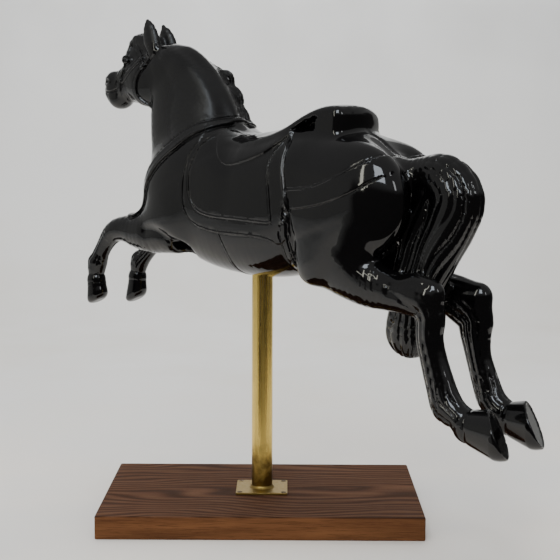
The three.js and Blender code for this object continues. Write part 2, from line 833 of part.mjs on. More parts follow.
// ---------- flange plate with its soldered bead ----------
let plate = solid(slab(PLATE_SIDE, PLATE_SIDE, poleFoot, plateTop, PLATE_CORNER, 0.5));
const bead = turned(
  [
    [0, poleFoot + 1],
    [poleRadius + COLLAR_SPREAD, poleFoot + 1],
    [poleRadius + COLLAR_SPREAD, plateTop + 0.2],
    [poleRadius + COLLAR_SPREAD * 0.55, plateTop + COLLAR_HEIGHT * 0.45],
    [poleRadius + COLLAR_SPREAD * 0.22, plateTop + COLLAR_HEIGHT],
    [0, plateTop + COLLAR_HEIGHT],
  ],
  36,
);
plate = plate.add(solid(bead));
plate = plate.subtract(solid(roundBar(poleRadius + FIT, poleFoot - 5, plateTop + 20)));
const sinkTop = plateTop + 1;
const sinkRadius = SCREW_HEAD / 2 + FIT;
for (const [x, y] of screwPlaces) {
  const sink = turned(
    [
      [0, poleFoot - 5],
      [SCREW_SHANK / 2 + FIT, poleFoot - 5],
      [SCREW_SHANK / 2 + FIT, plateTop - SCREW_HEAD_DEPTH],
      [sinkRadius, plateTop],
      [sinkRadius, sinkTop],
      [0, sinkTop],
    ],
    14,
  );
  plate = plate.subtract(solid(sink.translate(x, y, 0)));
}

// ---------- pole ----------
const pole = solid(roundBar(poleRadius, poleFoot, POLE_TOP)).subtract(
  solid(roundBar(poleRadius - POLE_WALL, poleFoot - 5, POLE_TOP + 5)),
);

// ---------- countersunk slotted screws ----------
function screw() {
  const head = SCREW_HEAD / 2;
  const shank = SCREW_SHANK / 2;
  const crown = plateTop + 0.25;
  const tip = BOARD_HEIGHT - SCREW_LENGTH + 2;
  const body = solid(
    turned(
      [
        [0, tip],
        [shank * 0.3, tip + 1],
        [shank, tip + 5],
        [shank, plateTop - SCREW_HEAD_DEPTH],
        [head, plateTop - 0.1],
        [head * 0.95, crown],
        [0, crown + 0.35],
      ],
      14,
    ),
  );
  const slot = new THREE.BoxGeometry(SCREW_HEAD * 1.3, SLOT_WIDTH, 2).translate(0, 0, plateTop + 0.1);
  return body.subtract(solid(slot));
}

// ---------- horse with the socket for the pole ----------
const socketTop = POLE_TOP + FIT;
const carved = solid(await carveHorse());
const horse = carved.subtract(solid(roundBar(poleRadius + FIT, 300, socketTop)));

const part = new THREE.Group();
part.name = "carousel_horse";
part.add(put(toGeometry(horse), "horse", 0x0b0b0c, 0.12, 0));
part.add(put(toGeometry(pole), "pole", 0xc8a24a, 0.28, 1));
part.add(put(toGeometry(plate), "flange_plate", 0xc8a24a, 0.35, 1));
part.add(put(toGeometry(board), "base_board", 0x5d4030, 0.5, 0));
screwPlaces.forEach(([x, y], i) => {
  const mesh = put(toGeometry(screw()), "screw_" + (i + 1), 0x4a3a28, 0.4, 1);
  mesh.rotation.z = [0.5, 2.2, 1.1, 2.9][i];
  mesh.position.set(x, y, 0);
  part.add(mesh);
});

export default part;
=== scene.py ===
# A leaping carousel horse in black glaze on a brass pole and an oak board. The horse's casting is made
# here with its fine carving; the pole, plate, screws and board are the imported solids, given materials.
import math
from itertools import combinations
import bpy
import numpy as np
from mathutils import Matrix, Vector


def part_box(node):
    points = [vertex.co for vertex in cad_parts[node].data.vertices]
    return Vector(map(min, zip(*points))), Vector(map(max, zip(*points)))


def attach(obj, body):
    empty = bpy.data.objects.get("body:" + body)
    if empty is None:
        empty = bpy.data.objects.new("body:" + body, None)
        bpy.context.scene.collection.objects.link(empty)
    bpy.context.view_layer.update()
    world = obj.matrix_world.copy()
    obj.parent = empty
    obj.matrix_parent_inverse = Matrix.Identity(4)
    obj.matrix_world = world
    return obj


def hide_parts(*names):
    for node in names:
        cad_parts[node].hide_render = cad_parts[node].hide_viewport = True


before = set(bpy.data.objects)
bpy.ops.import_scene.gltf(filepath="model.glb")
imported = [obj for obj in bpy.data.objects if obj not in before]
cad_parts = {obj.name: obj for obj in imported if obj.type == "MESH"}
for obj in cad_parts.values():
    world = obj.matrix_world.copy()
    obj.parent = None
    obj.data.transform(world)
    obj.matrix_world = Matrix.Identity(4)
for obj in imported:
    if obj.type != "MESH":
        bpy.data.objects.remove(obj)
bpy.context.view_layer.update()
MM = 0.001
HEADING = math.radians(142)
HORSE_RAISE = 2.0

# ---------- the horse's named sizes, mm
# In the horse's own frame: x forward, y to its left, z up. A form's side is "once" where it crosses
# the middle plane, "both" where the flanks are alike, or "left" or "right" alone.
LEG_SPREAD = 48.0
EAR_SPREAD = 20.0
RIGHT_EAR_SPREAD = 16.0
# LIMBS holds each limb by name: (blend, side, y, stations of x, z, radius in the side view, half width)
CREST_RADII = (7, 6)
CREST_RUN = [
    (126.5, 689.6), (111, 676), (101.5, 665.7), (93.8, 652), (85.8, 640), (77.7, 629.5), (69.7, 619),
    (63.8, 610), (58, 599.5), (52.3, 588), (51, 574),
]
LIMBS = {
    "trunk": (0, "once", 0, [
        (140, 474, 66, 56), (108, 479, 80, 70), (60, 472, 99, 80), (0, 467, 103.5, 85),
        (-60, 472, 105.5, 87), (-120, 491, 96.5, 84), (-162, 501, 83, 68), (-196, 500, 63, 47),
        (-226, 497, 44, 32),
    ]),
    "neck": (44, "once", 0, [
        (100, 505, 79, 62), (127, 559, 76, 48), (137, 600, 72.5, 40), (150, 634, 57.5, 35),
        (167, 663, 41, 29), (184, 682, 26.5, 21),
    ]),
    "crest": (24, "once", 3, [(168, 700, 8, 8), (146, 700, 7, 6.5)]
              + [place + CREST_RADII for place in CREST_RUN]),
    "foreLeft": (20, "left", LEG_SPREAD, [
        (122, 446, 42, 30), (168, 426, 36.5, 27), (206, 421.5, 28.5, 23), (237, 424, 21.5, 19),
        (258, 422, 18.5, 18), (273, 413, 16.5, 16), (286, 399, 13.5, 13.5), (297, 383, 13, 13),
        (306, 367, 16.5, 15.5), (309, 350, 14, 13), (309, 338, 14.5, 14),
    ]),
    "foreRight": (20, "right", LEG_SPREAD, [
        (122, 446, 42, 30), (166, 425, 36, 27), (199, 418, 28, 23), (225, 414, 23.5, 19),
        (244, 410, 20, 18), (260, 401, 17.5, 16), (275, 389, 14, 13.5), (288, 377, 13.5, 13),
        (303, 364, 16.5, 15.5), (308, 348, 14, 13), (310, 336, 15, 14),
    ]),
    "hindLeft": (13, "left", LEG_SPREAD, [
        (-166, 450, 76, 38), (-180, 413, 59, 33), (-206, 384, 41, 28), (-232, 370, 33.5, 25),
        (-258, 363.5, 28.5, 22.5), (-290, 358, 26, 21), (-317, 351.5, 25, 19.5),
        (-329, 332, 21.5, 17.5), (-328, 305, 19.5, 16.5), (-335, 275, 19.5, 16),
        (-347.5, 238, 21.5, 17), (-358, 214, 23.5, 18.5), (-374, 204, 18.5, 19), (-388, 194.5, 20, 19),
    ]),
    "hindRight": (13, "right", LEG_SPREAD, [
        (-166, 450, 76, 38), (-180, 413, 59, 33), (-206, 384, 41, 28), (-232, 371, 33, 25),
        (-262, 362, 30, 22.5), (-296, 354, 29.5, 21), (-321, 341, 30, 20), (-341, 323, 28, 18),
        (-343, 300, 23.5, 16.5), (-348, 270, 19, 15), (-359.5, 236, 20, 16), (-370, 211, 21, 18),
        (-384, 198, 20, 19), (-396, 190, 22, 19),
    ]),
    "pointLeft": (10, "left", LEG_SPREAD, [(-303, 366, 24, 17), (-327, 362, 22.5, 16)]),
    "pointRight": (10, "right", LEG_SPREAD, [(-318, 352, 25, 17), (-346, 351, 21.5, 16)]),
    "head": (20, "once", 0, [
        (190, 680, 28, 23), (214, 670, 40, 29), (240, 663, 40.5, 29), (266, 657, 32.5, 24),
        (288, 650.5, 27, 20), (301, 646, 23, 20), (308, 643, 19.5, 17),
    ]),
    "tail": (20, "once", 0, [
        (-235, 518, 22, 16), (-262, 519, 22, 17), (-290, 518, 28, 20), (-319, 511, 38, 26),
        (-338, 487, 40.5, 30), (-330, 453, 36, 31), (-311, 418, 33.5, 30), (-294, 384, 32.5, 28),
        (-279, 350, 34, 26), (-269, 319, 38, 26), (-266, 301, 38, 24),
    ]),
    "tailLock": (16, "once", 0, [
        (-296, 486, 16, 18), (-282, 450, 20, 22), (-270, 415, 22, 24), (-262, 386, 20, 24),
    ]),
    "forelock": (9, "once", 0, [
        (220, 714, 14, 16), (240, 720, 13, 14), (255, 722, 11.5, 12), (265, 717, 8.5, 10),
    ]),
    "earLeft": (5, "left", EAR_SPREAD, [
        (203, 704, 13, 9), (208.5, 720, 15.5, 8.5), (213, 737, 11.5, 6.5), (217, 750, 3.5, 3),
    ]),
    "earRight": (5, "right", RIGHT_EAR_SPREAD, [
        (200, 700, 13, 9), (206, 716, 15.5, 8.5), (212, 731, 11.5, 6.5), (217, 743.5, 3.5, 3),
    ]),
}
# name: (blend, side, centre, radii, tilt in degrees)
MASSES = {
    "haunch": (16, "both", (-194, 45, 481), (93, 43, 86), 0),
    "shoulder": (26, "both", (124, 42, 476), (60, 34, 80), 10),
    "stifle": (16, "both", (-150, 58, 401), (33, 23, 42), 35),
    "throat": (18, "once", (204, 0, 599), (21, 15, 31), 0),
    "cheek": (10, "both", (226, 15, 653), (30, 16, 34), 0),
    "chin": (8, "once", (296, 0, 629), (20, 18, 15), 0),
    "muzzle": (6, "both", (305, 7, 660), (16, 11, 15), 0),
    "brow": (12, "once", (253, 0, 699), (26, 18, 17), 0),
    "eye": (5, "both", (262, 19, 690), (9, 5.5, 7), 0),
}
# the hollow behind each elbow
ARMPIT_BLEND = 8
ARMPIT_CENTRE = (110, 55, 397)
ARMPIT_RADII = (18, 30, 16)
# name: (blend, side, coronet x z radius, sole x z radius, way the sole faces x z y, flatness, rim)
HOOVES = {
    "foreLeft": (5, "left", (309, 337, 15), (305, 304, 19.5), (-0.45, -0.893, 0), 0.92, 12),
    "foreRight": (5, "right", (310, 333, 15), (312, 297, 20), (-0.45, -0.893, 0), 0.92, 12),
    "hindLeft": (4, "left", (-391, 191, 23.5), (-436.5, 186.5, 35), (-0.869, 0.4, -0.298), 0.8, 3),
    "hindRight": (4, "right", (-399, 187, 24), (-438, 184.5, 35), (-0.869, 0.4, 0.298), 0.8, 3),
}
# outlines in the side view, x and z
SADDLE_PROFILE = [
    (60, 552), (40, 561), (15, 564), (-10, 562), (-35, 565), (-62, 574), (-80, 582), (-96, 590),
    (-115, 600), (-135, 609), (-155, 615), (-172, 616), (-184, 613), (-189, 604), (-189, 590),
    (-186, 574), (-184, 552), (-90, 548), (0, 528), (50, 528),
]
RECESS_PROFILE = [(-98, 580), (-126, 595), (-152, 604), (-147, 592), (-146, 582), (-122, 578)]
SADDLE_FLAP_OUTLINE = [
    (46, 581), (37, 566), (26, 544), (10, 530), (-10, 530), (-44, 540), (-70, 551), (-91, 568),
    (-112, 590), (-120, 640), (60, 640),
]
BLANKET_OUTLINE = [
    (65, 569), (83, 548), (87, 513), (87, 478), (83, 458), (66, 439), (29, 431), (0, 429), (-41, 429),
    (-73, 426), (-95, 417), (-112, 430), (-118, 461), (-116, 470), (-110, 489), (-102, 518), (-98, 544),
    (-100, 560), (-106, 600), (0, 640), (60, 620),
]
BREECHING_OUTLINE = [
    (-112, 497), (-152, 500), (-178, 510), (-205, 522), (-235, 538), (-245, 543), (-270, 552),
    (-280, 530), (-264, 519), (-255, 516), (-240, 507), (-228, 499), (-196, 485), (-166, 476),
    (-122, 469), (-105, 469),
]
BREAST_COLLAR_OUTLINE = [
    (40, 600), (51, 597), (91, 586), (129, 561), (167, 532), (184, 506), (200, 480), (235, 450),
    (215, 440), (183, 472), (176, 495), (152, 524), (112, 554), (87, 573), (45, 588),
]
HAIR_ROOTS = [
    (76, 578), (100, 590), (112, 606), (120, 620), (128, 632), (136, 640), (146, 652), (158, 658),
    (168, 670), (184, 676), (200, 690),
]
MANE_OUTLINE = [
    (206, 700), (184, 700), (160, 694), (136, 684), (121, 676), (107, 670), (96, 669), (88, 660),
    (88, 647), (77, 641), (70, 628), (72, 617), (60, 606), (54, 592), (60, 580),
] + HAIR_ROOTS
NAPE_OUTLINE = [
    (206, 700), (180, 704), (150, 702), (126, 692), (108, 678), (97, 667), (89, 653.5), (81, 641.5),
    (73, 631), (65, 620.5), (59, 611.5), (53, 600.5), (48, 589), (46, 578), (60, 574),
] + HAIR_ROOTS
# fine lines cut or raised on both flanks and on the head
PANEL_LINE = [
    (44, 571), (62, 560), (73, 536), (75, 512), (73, 487), (60, 463), (34, 455), (-7, 453), (-37, 452),
    (-67, 450), (-85, 450), (-85, 459), (-82, 496), (-76, 524), (-78, 544), (-92, 564),
]
REAR_BEAD = [(-97, 580), (-101, 560), (-99, 544), (-103, 518), (-110, 489), (-115, 468)]
GIRTH = [(-108, 452), (-104, 420), (-104, 330)]
GIRTH_LINE = [(17, 427), (9, 405), (6, 382), (6, 340)]
BREECH_TOP = BREECHING_OUTLINE[:5] + [(-250, 545)]
BREECH_LOW = [(-118, 469), (-166, 476), (-196, 485), (-228, 499), (-240, 507), (-262, 519)]
THROAT_LATCH = [
    (198, 702), (209, 690.5), (221.5, 676), (230.5, 663.5), (234, 654), (236.5, 645), (236, 638.5),
    (233, 632), (226.5, 626), (219, 621), (208, 617),
]
CHEEK_STRAP = [(226, 693), (248, 677), (272, 658)]
BROW_STRAP = [(248, 712), (236, 700), (224, 688), (217, 680)]
MOUTH = [(322, 643), (312, 641), (300, 641), (288, 645)]
ELBOW_HOLLOW = [(100, 400), (120, 412), (140, 424), (158, 428), (176, 426)]
THIGH_FOLD = [(-112, 470), (-122, 430), (-112, 395)]
# how boxy a limb's sections are: 2 is an ellipse
SECTION_POWER = {"neck": 3.6, "trunk": 2.6}
NECK_BACK_POWER = 3.4  # added to it towards the crest

SADDLE_BLEND = 9
SADDLE_EDGE = 12
SADDLE_PLACES = [-190, -140, -90, -40, 20, 60]
SADDLE_HALF_WIDTHS = [51, 53, 58, 62, 56, 38]
CANTLE_START = -60
CANTLE_RUN = 80
SADDLE_BOW = 0.0045
SADDLE_DROP = 0.55
SADDLE_TWIST = 0.09
RECESS_INSIDE = 34.0
RECESS_EDGE = 2

MANE_BLEND = 3
MANE_EDGE = 6
MANE_SWELL = 4.2
MANE_HALF = 20.5
MANE_TURN = 13
MANE_LEAN = 0.6
MANE_FAN = 0.36
CREST_TOP = (206, 700)
CREST_WAY = (0.64, 0.77)

SOLE_RIM = 4.2
SOLE_DISH = 1.7
CORONET_GROOVE = 0.8
FAR = 60.0  # no distance needs to be known beyond this
NEAR_SKIN = 14  # carving is worked out only this close to the surface
STATION_STEP = 9
SEGMENT_REACH = 30


# ---------- distances
def clamp(v, low, high):
    return np.minimum(high, np.maximum(low, v))


def join(a, b, blend):
    """The nearer of two forms, with a fillet where they meet."""
    if blend <= 0:
        return np.minimum(a, b)
    near = np.maximum(blend - np.abs(a - b), 0) / blend
    return np.minimum(a, b) - near * near * blend * 0.25


def meet(a, b, blend):
    """What two forms share, with a rounded edge."""
    return -join(-a, -b, blend)


def ease(v, width):
    """Climbs smoothly from 0 to 1 over a width, with its middle at v = 0."""
    t = clamp(v / width + 0.5, 0, 1)
    return t * t * (3 - 2 * t)


def within(v, low, high, low_fade, high_fade):
    """1 between two places, fading out over a width at each."""
    return ease(v - low, low_fade) * ease(high - v, high_fade)


def gauss(v, width):
    """A smooth bump, 1 at v = 0."""
    return np.exp(-((v / width) ** 2))


def stations(rows):
    """A smooth run of stations through the given ones."""
    rows = np.array(rows, float)
    if len(rows) == 2:
        return rows[0] + (rows[1] - rows[0]) * np.array([0, 0.5, 1])[:, None]
    p = np.vstack([2 * rows[0] - rows[1], rows, 2 * rows[-1] - rows[-2]])
    out = []
    for p0, p1, p2, p3 in zip(p[:-3], p[1:-2], p[2:-1], p[3:]):
        n = max(1, int(round(math.hypot(p2[0] - p1[0], p2[1] - p1[1]) / STATION_STEP)))
        for t in np.arange(n) / n:
            curve = 2 * p1 + (p2 - p0) * t + (2 * p0 - 5 * p1 + 4 * p2 - p3) * t ** 2
            out.append(0.5 * (curve + (3 * p1 - p0 - 3 * p2 + p3) * t ** 3))
    out.append(rows[-1])
    return np.array(out)


PATHS = {name: stations(limb[3]) for name, limb in LIMBS.items()}
LENGTH = {name: np.hypot(*np.diff(path[:, :2], axis=0).T).sum() for name, path in PATHS.items()}


def oval(dx, dy, dz, r, w, power=2.0):
    """Roughly how far a point is outside an oval section; a higher power makes it boxier."""
    flat = np.sqrt(dx * dx + dz * dz) / r
    wide = np.abs(dy) / w
    reach = (flat ** power + wide ** power) ** (1 / power) + 1e-9
    steepness = np.hypot(flat ** (power - 1) / r, wide ** (power - 1) / w) / reach ** (power - 1)
    return (reach - 1) / np.maximum(steepness, 0.3 / r)


def in_box(P, low_x, high_x, low_z, high_z=np.inf):
    """The numbers of the points that lie between two places in the side view."""
    x, z = P[:, 0], P[:, 2]
    return np.where((x > low_x) & (x < high_x) & (z > low_z) & (z < high_z))[0]


def limb_distance(name, P):
    """Distance to a limb, how far along it each point lies, and its offsets across in radii."""
    middle = LIMBS[name][2]
    path = PATHS[name]
    out = np.full(len(P), FAR)
    extra = np.zeros((len(P), 3))
    x, z, *radii = path.T
    margin = np.max(radii) + FAR
    ids = in_box(P, x.min() - margin, x.max() + margin, z.min() - margin, z.max() + margin)
    ids = ids[np.abs(P[ids, 1] - middle) < margin]
    Q = P[ids]
    best = out[ids]
    along = extra[ids]
    run = 0.0
    for a, b in zip(path[:-1], path[1:]):
        way = b[:2] - a[:2]
        length = math.hypot(*way)
        low = np.minimum(a, b)
        high = np.maximum(a, b)
        reach = max(high[2:]) + SEGMENT_REACH
        m = in_box(Q, low[0] - reach, high[0] + reach, low[1] - reach, high[1] + reach)
        gx = Q[m, 0] - a[0]
        gz = Q[m, 2] - a[1]
        t = clamp((gx * way[0] + gz * way[1]) / length ** 2, 0, 1)
        dx = gx - t * way[0]
        dz = gz - t * way[1]
        dy = Q[m, 1] - middle
        r = a[2] + t * (b[2] - a[2])
        w = a[3] + t * (b[3] - a[3])
        across = (dx * way[1] - dz * way[0]) / length
        power = SECTION_POWER.get(name, 2.0)
        if name == "neck":
            power = power + NECK_BACK_POWER * clamp(-across / r * 1.6, 0, 1)
        d = oval(dx, dy, dz, r, w, power)
        better = d < best[m]
        k = m[better]
        best[k] = d[better]
        along[k] = np.stack([run + t * length, across / r, dy / w], 1)[better]
        run += length
    out[ids] = best
    extra[ids] = along
    return out, extra


def mass_distance(centre, radii, tilt, P):
    """Distance to an ellipsoid that is tilted in the side view."""
    a = math.radians(tilt)
    d = P - np.array(centre, float)
    px = d[:, 0] * math.cos(a) + d[:, 2] * math.sin(a)
    pz = d[:, 2] * math.cos(a) - d[:, 0] * math.sin(a)
    scaled = np.stack([px, d[:, 1], pz], 1) / radii
    near = np.sqrt((scaled ** 2).sum(1)) + 1e-9
    steepness = np.sqrt(((scaled / radii) ** 2).sum(1)) + 1e-9
    return np.minimum(near * (near - 1) / steepness, FAR)


def hoof_distance(hoof, P):
    """A hoof's wall and its flat or dished sole, with a groove under the coronet."""
    blend, side, (ax, az, ar), (bx, bz, br), face, flatness, rim = hoof
    vx, vz = bx - ax, bz - az
    t = clamp(((P[:, 0] - ax) * vx + (P[:, 2] - az) * vz) / (vx * vx + vz * vz), 0, 1)
    r = ar + t * (br - ar)
    y = P[:, 1] - LEG_SPREAD
    wall = oval(P[:, 0] - ax - t * vx, y, P[:, 2] - az - t * vz, r, r * flatness)
    wall = wall + CORONET_GROOVE * gauss(t - 0.06, 0.05)
    sole = ((P[:, 0] - bx) * face[0] + (P[:, 2] - bz) * face[1] + y * face[2]) / math.hypot(*face)
    d = meet(wall, sole, rim)
    looks_up = face[1] > 0
    if looks_up:
        d = d + SOLE_DISH * ease(-wall - SOLE_RIM, 2.2) * ease(sole + 5, 4)
    return np.minimum(d, FAR)


def round_outline(points):
    """A closed outline with its corners cut."""
    p = np.array(points, float)
    q = np.roll(p, -1, 0)
    return np.stack([0.75 * p + 0.25 * q, 0.25 * p + 0.75 * q], 1).reshape(-1, 2)


def round_line(points):
    """An open line with its corners cut twice."""
    p = np.array(points, float)
    for _ in range(2):
        a, b = p[:-1], p[1:]
        cut = np.stack([0.75 * a + 0.25 * b, 0.25 * a + 0.75 * b], 1).reshape(-1, 2)
        p = np.vstack([p[:1], cut, p[-1:]])
    return p


OUTLINES = {
    "saddle": round_outline(SADDLE_PROFILE),
    "recess": np.array(RECESS_PROFILE, float),
    "flap": round_outline(SADDLE_FLAP_OUTLINE),
    "blanket": round_outline(BLANKET_OUTLINE),
    "breeching": np.array(BREECHING_OUTLINE, float),
    "collar": round_outline(BREAST_COLLAR_OUTLINE),
    "mane": round_outline(MANE_OUTLINE),
    "nape": round_outline(NAPE_OUTLINE),
}
LINES = {
    "panel": round_line(PANEL_LINE),
    "bead": round_line(REAR_BEAD),
    "girth": round_line(GIRTH),
    "girth line": round_line(GIRTH_LINE),
    "breech top": round_line(BREECH_TOP),
    "breech low": round_line(BREECH_LOW),
    "throat": round_line(THROAT_LATCH),
    "cheek": round_line(CHEEK_STRAP),
    "brow": round_line(BROW_STRAP),
    "mouth": round_line(MOUTH),
    "elbow": round_line(ELBOW_HOLLOW),
    "thigh": round_line(THIGH_FOLD),
}


def to_segment(a, b, X, Z):
    """The squared distance to a straight stretch."""
    ex, ez = b - a
    wx = X - a[0]
    wz = Z - a[1]
    t = clamp((wx * ex + wz * ez) / (ex * ex + ez * ez), 0, 1)
    return (wx - ex * t) ** 2 + (wz - ez * t) ** 2


def outline(name, X, Z):
    """Distance to an outline in the side view, below 0 inside it."""
    corners = OUTLINES[name]
    best = np.full(len(X), np.inf)
    sign = np.ones(len(X))
    for here, before in zip(corners, np.roll(corners, 1, 0)):
        best = np.minimum(best, to_segment(here, before, X, Z))
        ex, ez = before - here
        up = Z >= here[1]
        down = Z < before[1]
        left = ex * (Z - here[1]) > ez * (X - here[0])
        sign = np.where((up & down & left) | (~up & ~down & ~left), -sign, sign)
    return sign * np.sqrt(best)


def line(name, X, Z):
    """Distance to a line in the side view."""
    corners = LINES[name]
    best = np.full(len(X), np.inf)
    for a, b in zip(corners[:-1], corners[1:]):
        best = np.minimum(best, to_segment(a, b, X, Z))
    return np.sqrt(best)


# ---------- fine carving
def lip(d, height):
    """A fine raised line with a groove on each side, such as a tooled border."""
    return height * gauss(d, 0.85) - 0.45 * gauss(np.abs(d) - 2.0, 0.8)


def strap(d, half, thick):
    """A flat strap along a line, with a groove on each side."""
    return thick * ease(half - d, 1.6) - 0.9 * gauss(d - half - 1.1, 1.0)


BLANKET_THICK = 1.9
BORDER_HEIGHT = 0.8
BORDER_INSET = 1.4
BORDER_BACK = -88  # the border runs only in front of this
PANEL_LINE_HEIGHT = 0.9
SADDLE_FOOT = 584  # the blanket runs out under the saddle here
BEAD_HEIGHT = 1.9
BEAD_FOOT = 462


def blanket_relief(x, z, flank):
    """The blanket with its tooled border, the panel's line inside it and the bead behind it."""
    edge = outline("blanket", x, z)
    border = lip(edge + BORDER_INSET, BORDER_HEIGHT) * flank * ease(x - BORDER_BACK, 10)
    g = (BLANKET_THICK * ease(-edge, 2.2) + border) * ease(SADDLE_FOOT - z, 30)
    g += lip(line("panel", x, z), PANEL_LINE_HEIGHT) * flank * ease(SADDLE_FOOT - 10 - z, 8)
    bead = line("bead", x, z)
    rolled = BEAD_HEIGHT * gauss(bead, 1.5) - 1.2 * gauss(bead - 2.8, 1.0) * ease(edge, 1)
    return g + rolled * flank * ease(z - BEAD_FOOT, 5)


FLAP_SWELL = 2.6
FLAP_STEP = 1.1
FLAP_FRONT = 36


def saddle_flap_relief(x, z, side):
    """The saddle's flap: a soft swell behind and a thin step at its edge."""
    edge = outline("flap", x, z)
    shape = FLAP_SWELL * ease(-edge, 9.0) * ease(-x, 40) + FLAP_STEP * ease(-edge, 2.2)
    return shape * ease(side - 20, 14) * ease(FLAP_FRONT - x, 26)


BREECHING_THICK = 1.3
COLLAR_THICK = 4.2
COLLAR_SAG = 0.2  # the share by which its middle is lower than its edges
GIRTH_THICK = 1.9
GIRTH_HALF = 4.2
GIRTH_TOP = 449
GIRTH_LINE_TOP = 429
RING_PLACE = (-109, 457)
RING_RADIUS = 4.4


def harness_relief(x, z, flank):
    """Breeching, breast collar, girth with its ring, and the line in front of it."""
    g = BREECHING_THICK * ease(-outline("breeching", x, z), 2.0)
    g += (lip(line("breech top", x, z), 0.8) - 1.5 * gauss(line("breech low", x, z), 1.1)) * flank
    collar = outline("collar", x, z)
    g += COLLAR_THICK * ease(-collar, 4.0) * (1 - COLLAR_SAG * clamp(-collar / 8, 0, 1))
    g -= 1.2 * gauss(collar - 2.6, 1.6)
    g += lip(line("girth line", x, z), 0.7) * flank * ease(GIRTH_LINE_TOP - z, 4)
    ring = np.hypot(x - RING_PLACE[0], (z - RING_PLACE[1]) * 0.72)
    g += (1.9 * gauss(ring - RING_RADIUS, 1.3) - 1.0 * gauss(ring, 2.2)) * flank
    girth = line("girth", x, z)
    sunk = 1.2 * gauss(girth - GIRTH_HALF - 1.4, 1.2)
    return g + (GIRTH_THICK * ease(GIRTH_HALF - girth, 2.0) - sunk) * ease(GIRTH_TOP - z, 4)


ELBOW_DEPTH = 5.0
THIGH_DEPTH = 1.7
CROUP_DEPTH = 3.2
CROUP_START = -192


def body_relief(P, side):
    """What stands proud of the flanks, or is cut into them."""
    height = np.zeros(len(P))
    m = in_box(P, -285, 245, 330, 640)
    x, z, out = P[m, 0], P[m, 2], side[m]
    flank = ease(out - 14, 10)
    height[m] = blanket_relief(x, z, flank) + saddle_flap_relief(x, z, out) + harness_relief(x, z, flank)
    folds = ELBOW_DEPTH * gauss(line("elbow", x, z), 9.0)
    folds += THIGH_DEPTH * gauss(line("thigh", x, z), 5.0)
    height[m] -= folds * ease(out - 30, 20)
    # the groove down the middle of the croup
    m = in_box(P, -262, -185, 520)
    m = m[side[m] < 16]
    height[m] -= CROUP_DEPTH * gauss(side[m], 3.2) * ease(CROUP_START - P[m, 0], 10)
    return height


BRIDLE_HALF_WIDTHS = {"throat": 3.2, "cheek": 3.4, "brow": 3.2}
BRIDLE_THICK = 1.5
NOSEBAND = (277, 662)
NOSEBAND_ACROSS = (0.97, 0.22)
NOSEBAND_HALF = 4.0
NOSEBAND_THICK = 1.7
MOUTH_DEPTH = 3.0
NOSTRIL = (313, 659)
NOSTRIL_RADII = (5.2, 3.4)
NOSTRIL_DEPTH = 4.0
EYE = (263, 690)
EYE_RADII = (6.6, 4.8)
EYE_SWELL = 1.8
CHIN_DENT = (268, 630)
CHIN_DENT_RADII = (3.0, 7)
CHIN_DENT_DEPTH = 2.4


def bridle_relief(x, z, side):
    """Throat latch, cheek and brow straps, and a noseband with a slit on each side of it."""
    flank = ease(side - 9, 8)
    g = sum(strap(line(name, x, z), half, BRIDLE_THICK) for name, half in BRIDLE_HALF_WIDTHS.items())
    g = flank * (g - 1.8 * gauss(line("throat", x + 4.6, z), 1.3))
    nose = (x - NOSEBAND[0]) * NOSEBAND_ACROSS[0] + (z - NOSEBAND[1]) * NOSEBAND_ACROSS[1]
    sunk = 0.9 * gauss(np.abs(nose) - NOSEBAND_HALF - 1.2, 1.1)
    band = NOSEBAND_THICK * ease(NOSEBAND_HALF - np.abs(nose), 1.6) - sunk
    slits = gauss(nose + 8.5, 1.3) + 0.8 * gauss(nose - 9.0, 1.3)
    on_cheek = ease(side - 12, 6) * within(z, 650, 675, 5, 5)
    return g + band * ease(z - 636, 10) - 2.2 * slits * on_cheek


def oval_reach(x, z, middle, radii):
    """How far out a point is from an oval's middle: 1 on the oval itself."""
    return np.hypot((x - middle[0]) / radii[0], (z - middle[1]) / radii[1])


def head_relief(P, side):
    """Bridle, mouth, nostrils, eyes and the dent behind the chin."""
    height = np.zeros(len(P))
    m = in_box(P, 185, np.inf, 600)
    x, z, out = P[m, 0], P[m, 2], side[m]
    g = bridle_relief(x, z, out)
    g -= ease(out - 3, 6) * MOUTH_DEPTH * gauss(line("mouth", x, z), 1.6)
    hole = oval_reach(x, z, NOSTRIL, NOSTRIL_RADII)
    g += ease(out - 7, 5) * (1.5 * gauss(hole - 1.75, 0.5) - NOSTRIL_DEPTH * gauss(hole, 1.0))
    ball = oval_reach(x, z, EYE, EYE_RADII)
    lids = 1.9 * gauss(ball - 1.7, 0.3) * ease(z - EYE[1] + 1, 4) - 1.7 * gauss(ball - 1.25, 0.22)
    g += ease(out - 14, 6) * (EYE_SWELL * ease(1 - ball, 0.5) + lids)
    dent = oval_reach(x, z, CHIN_DENT, CHIN_DENT_RADII)
    height[m] = g - CHIN_DENT_DEPTH * gauss(dent, 1.0) * ease(out - 5, 6)
    return height


# along a leg, counted back from its hoof in mm: where carving begins and ends, and how it fades
FORE_CANNON = (26, 90, 12, 14)
HIND_CANNON = (40, 182, 20, 22)
FETLOCK_HAIR = (12, 66, 8, 16)
HOCK = (160, 232, 14, 14)
# grooves round a leg: (angle from its back in radians, depth, width)
FORE_SINEWS = [(2.0, 1.3, 0.16), (1.1, 0.91, 0.14)]
HIND_SINEWS = [(2.35, 1.8, 0.12), (1.75, 1.4, 0.12), (1.15, 1.1, 0.12)]
CORONET_RING = 1.2
HAIR_DEPTH = 1.5


def fore_leg_relief(along, length):
    """Sinews down the cannon, the fold in front above the fetlock and the groove over the hoof."""
    run, a, b = along.T
    side = np.abs(np.arctan2(b, a))
    back = length - run
    g = -CORONET_RING * gauss(back - 9, 2.0) - 1.5 * gauss(back - 40, 3.0) * ease(-a, 0.5)
    for angle, depth, width in FORE_SINEWS:
        g -= within(back, *FORE_CANNON) * depth * gauss(side - angle, width)
    return g


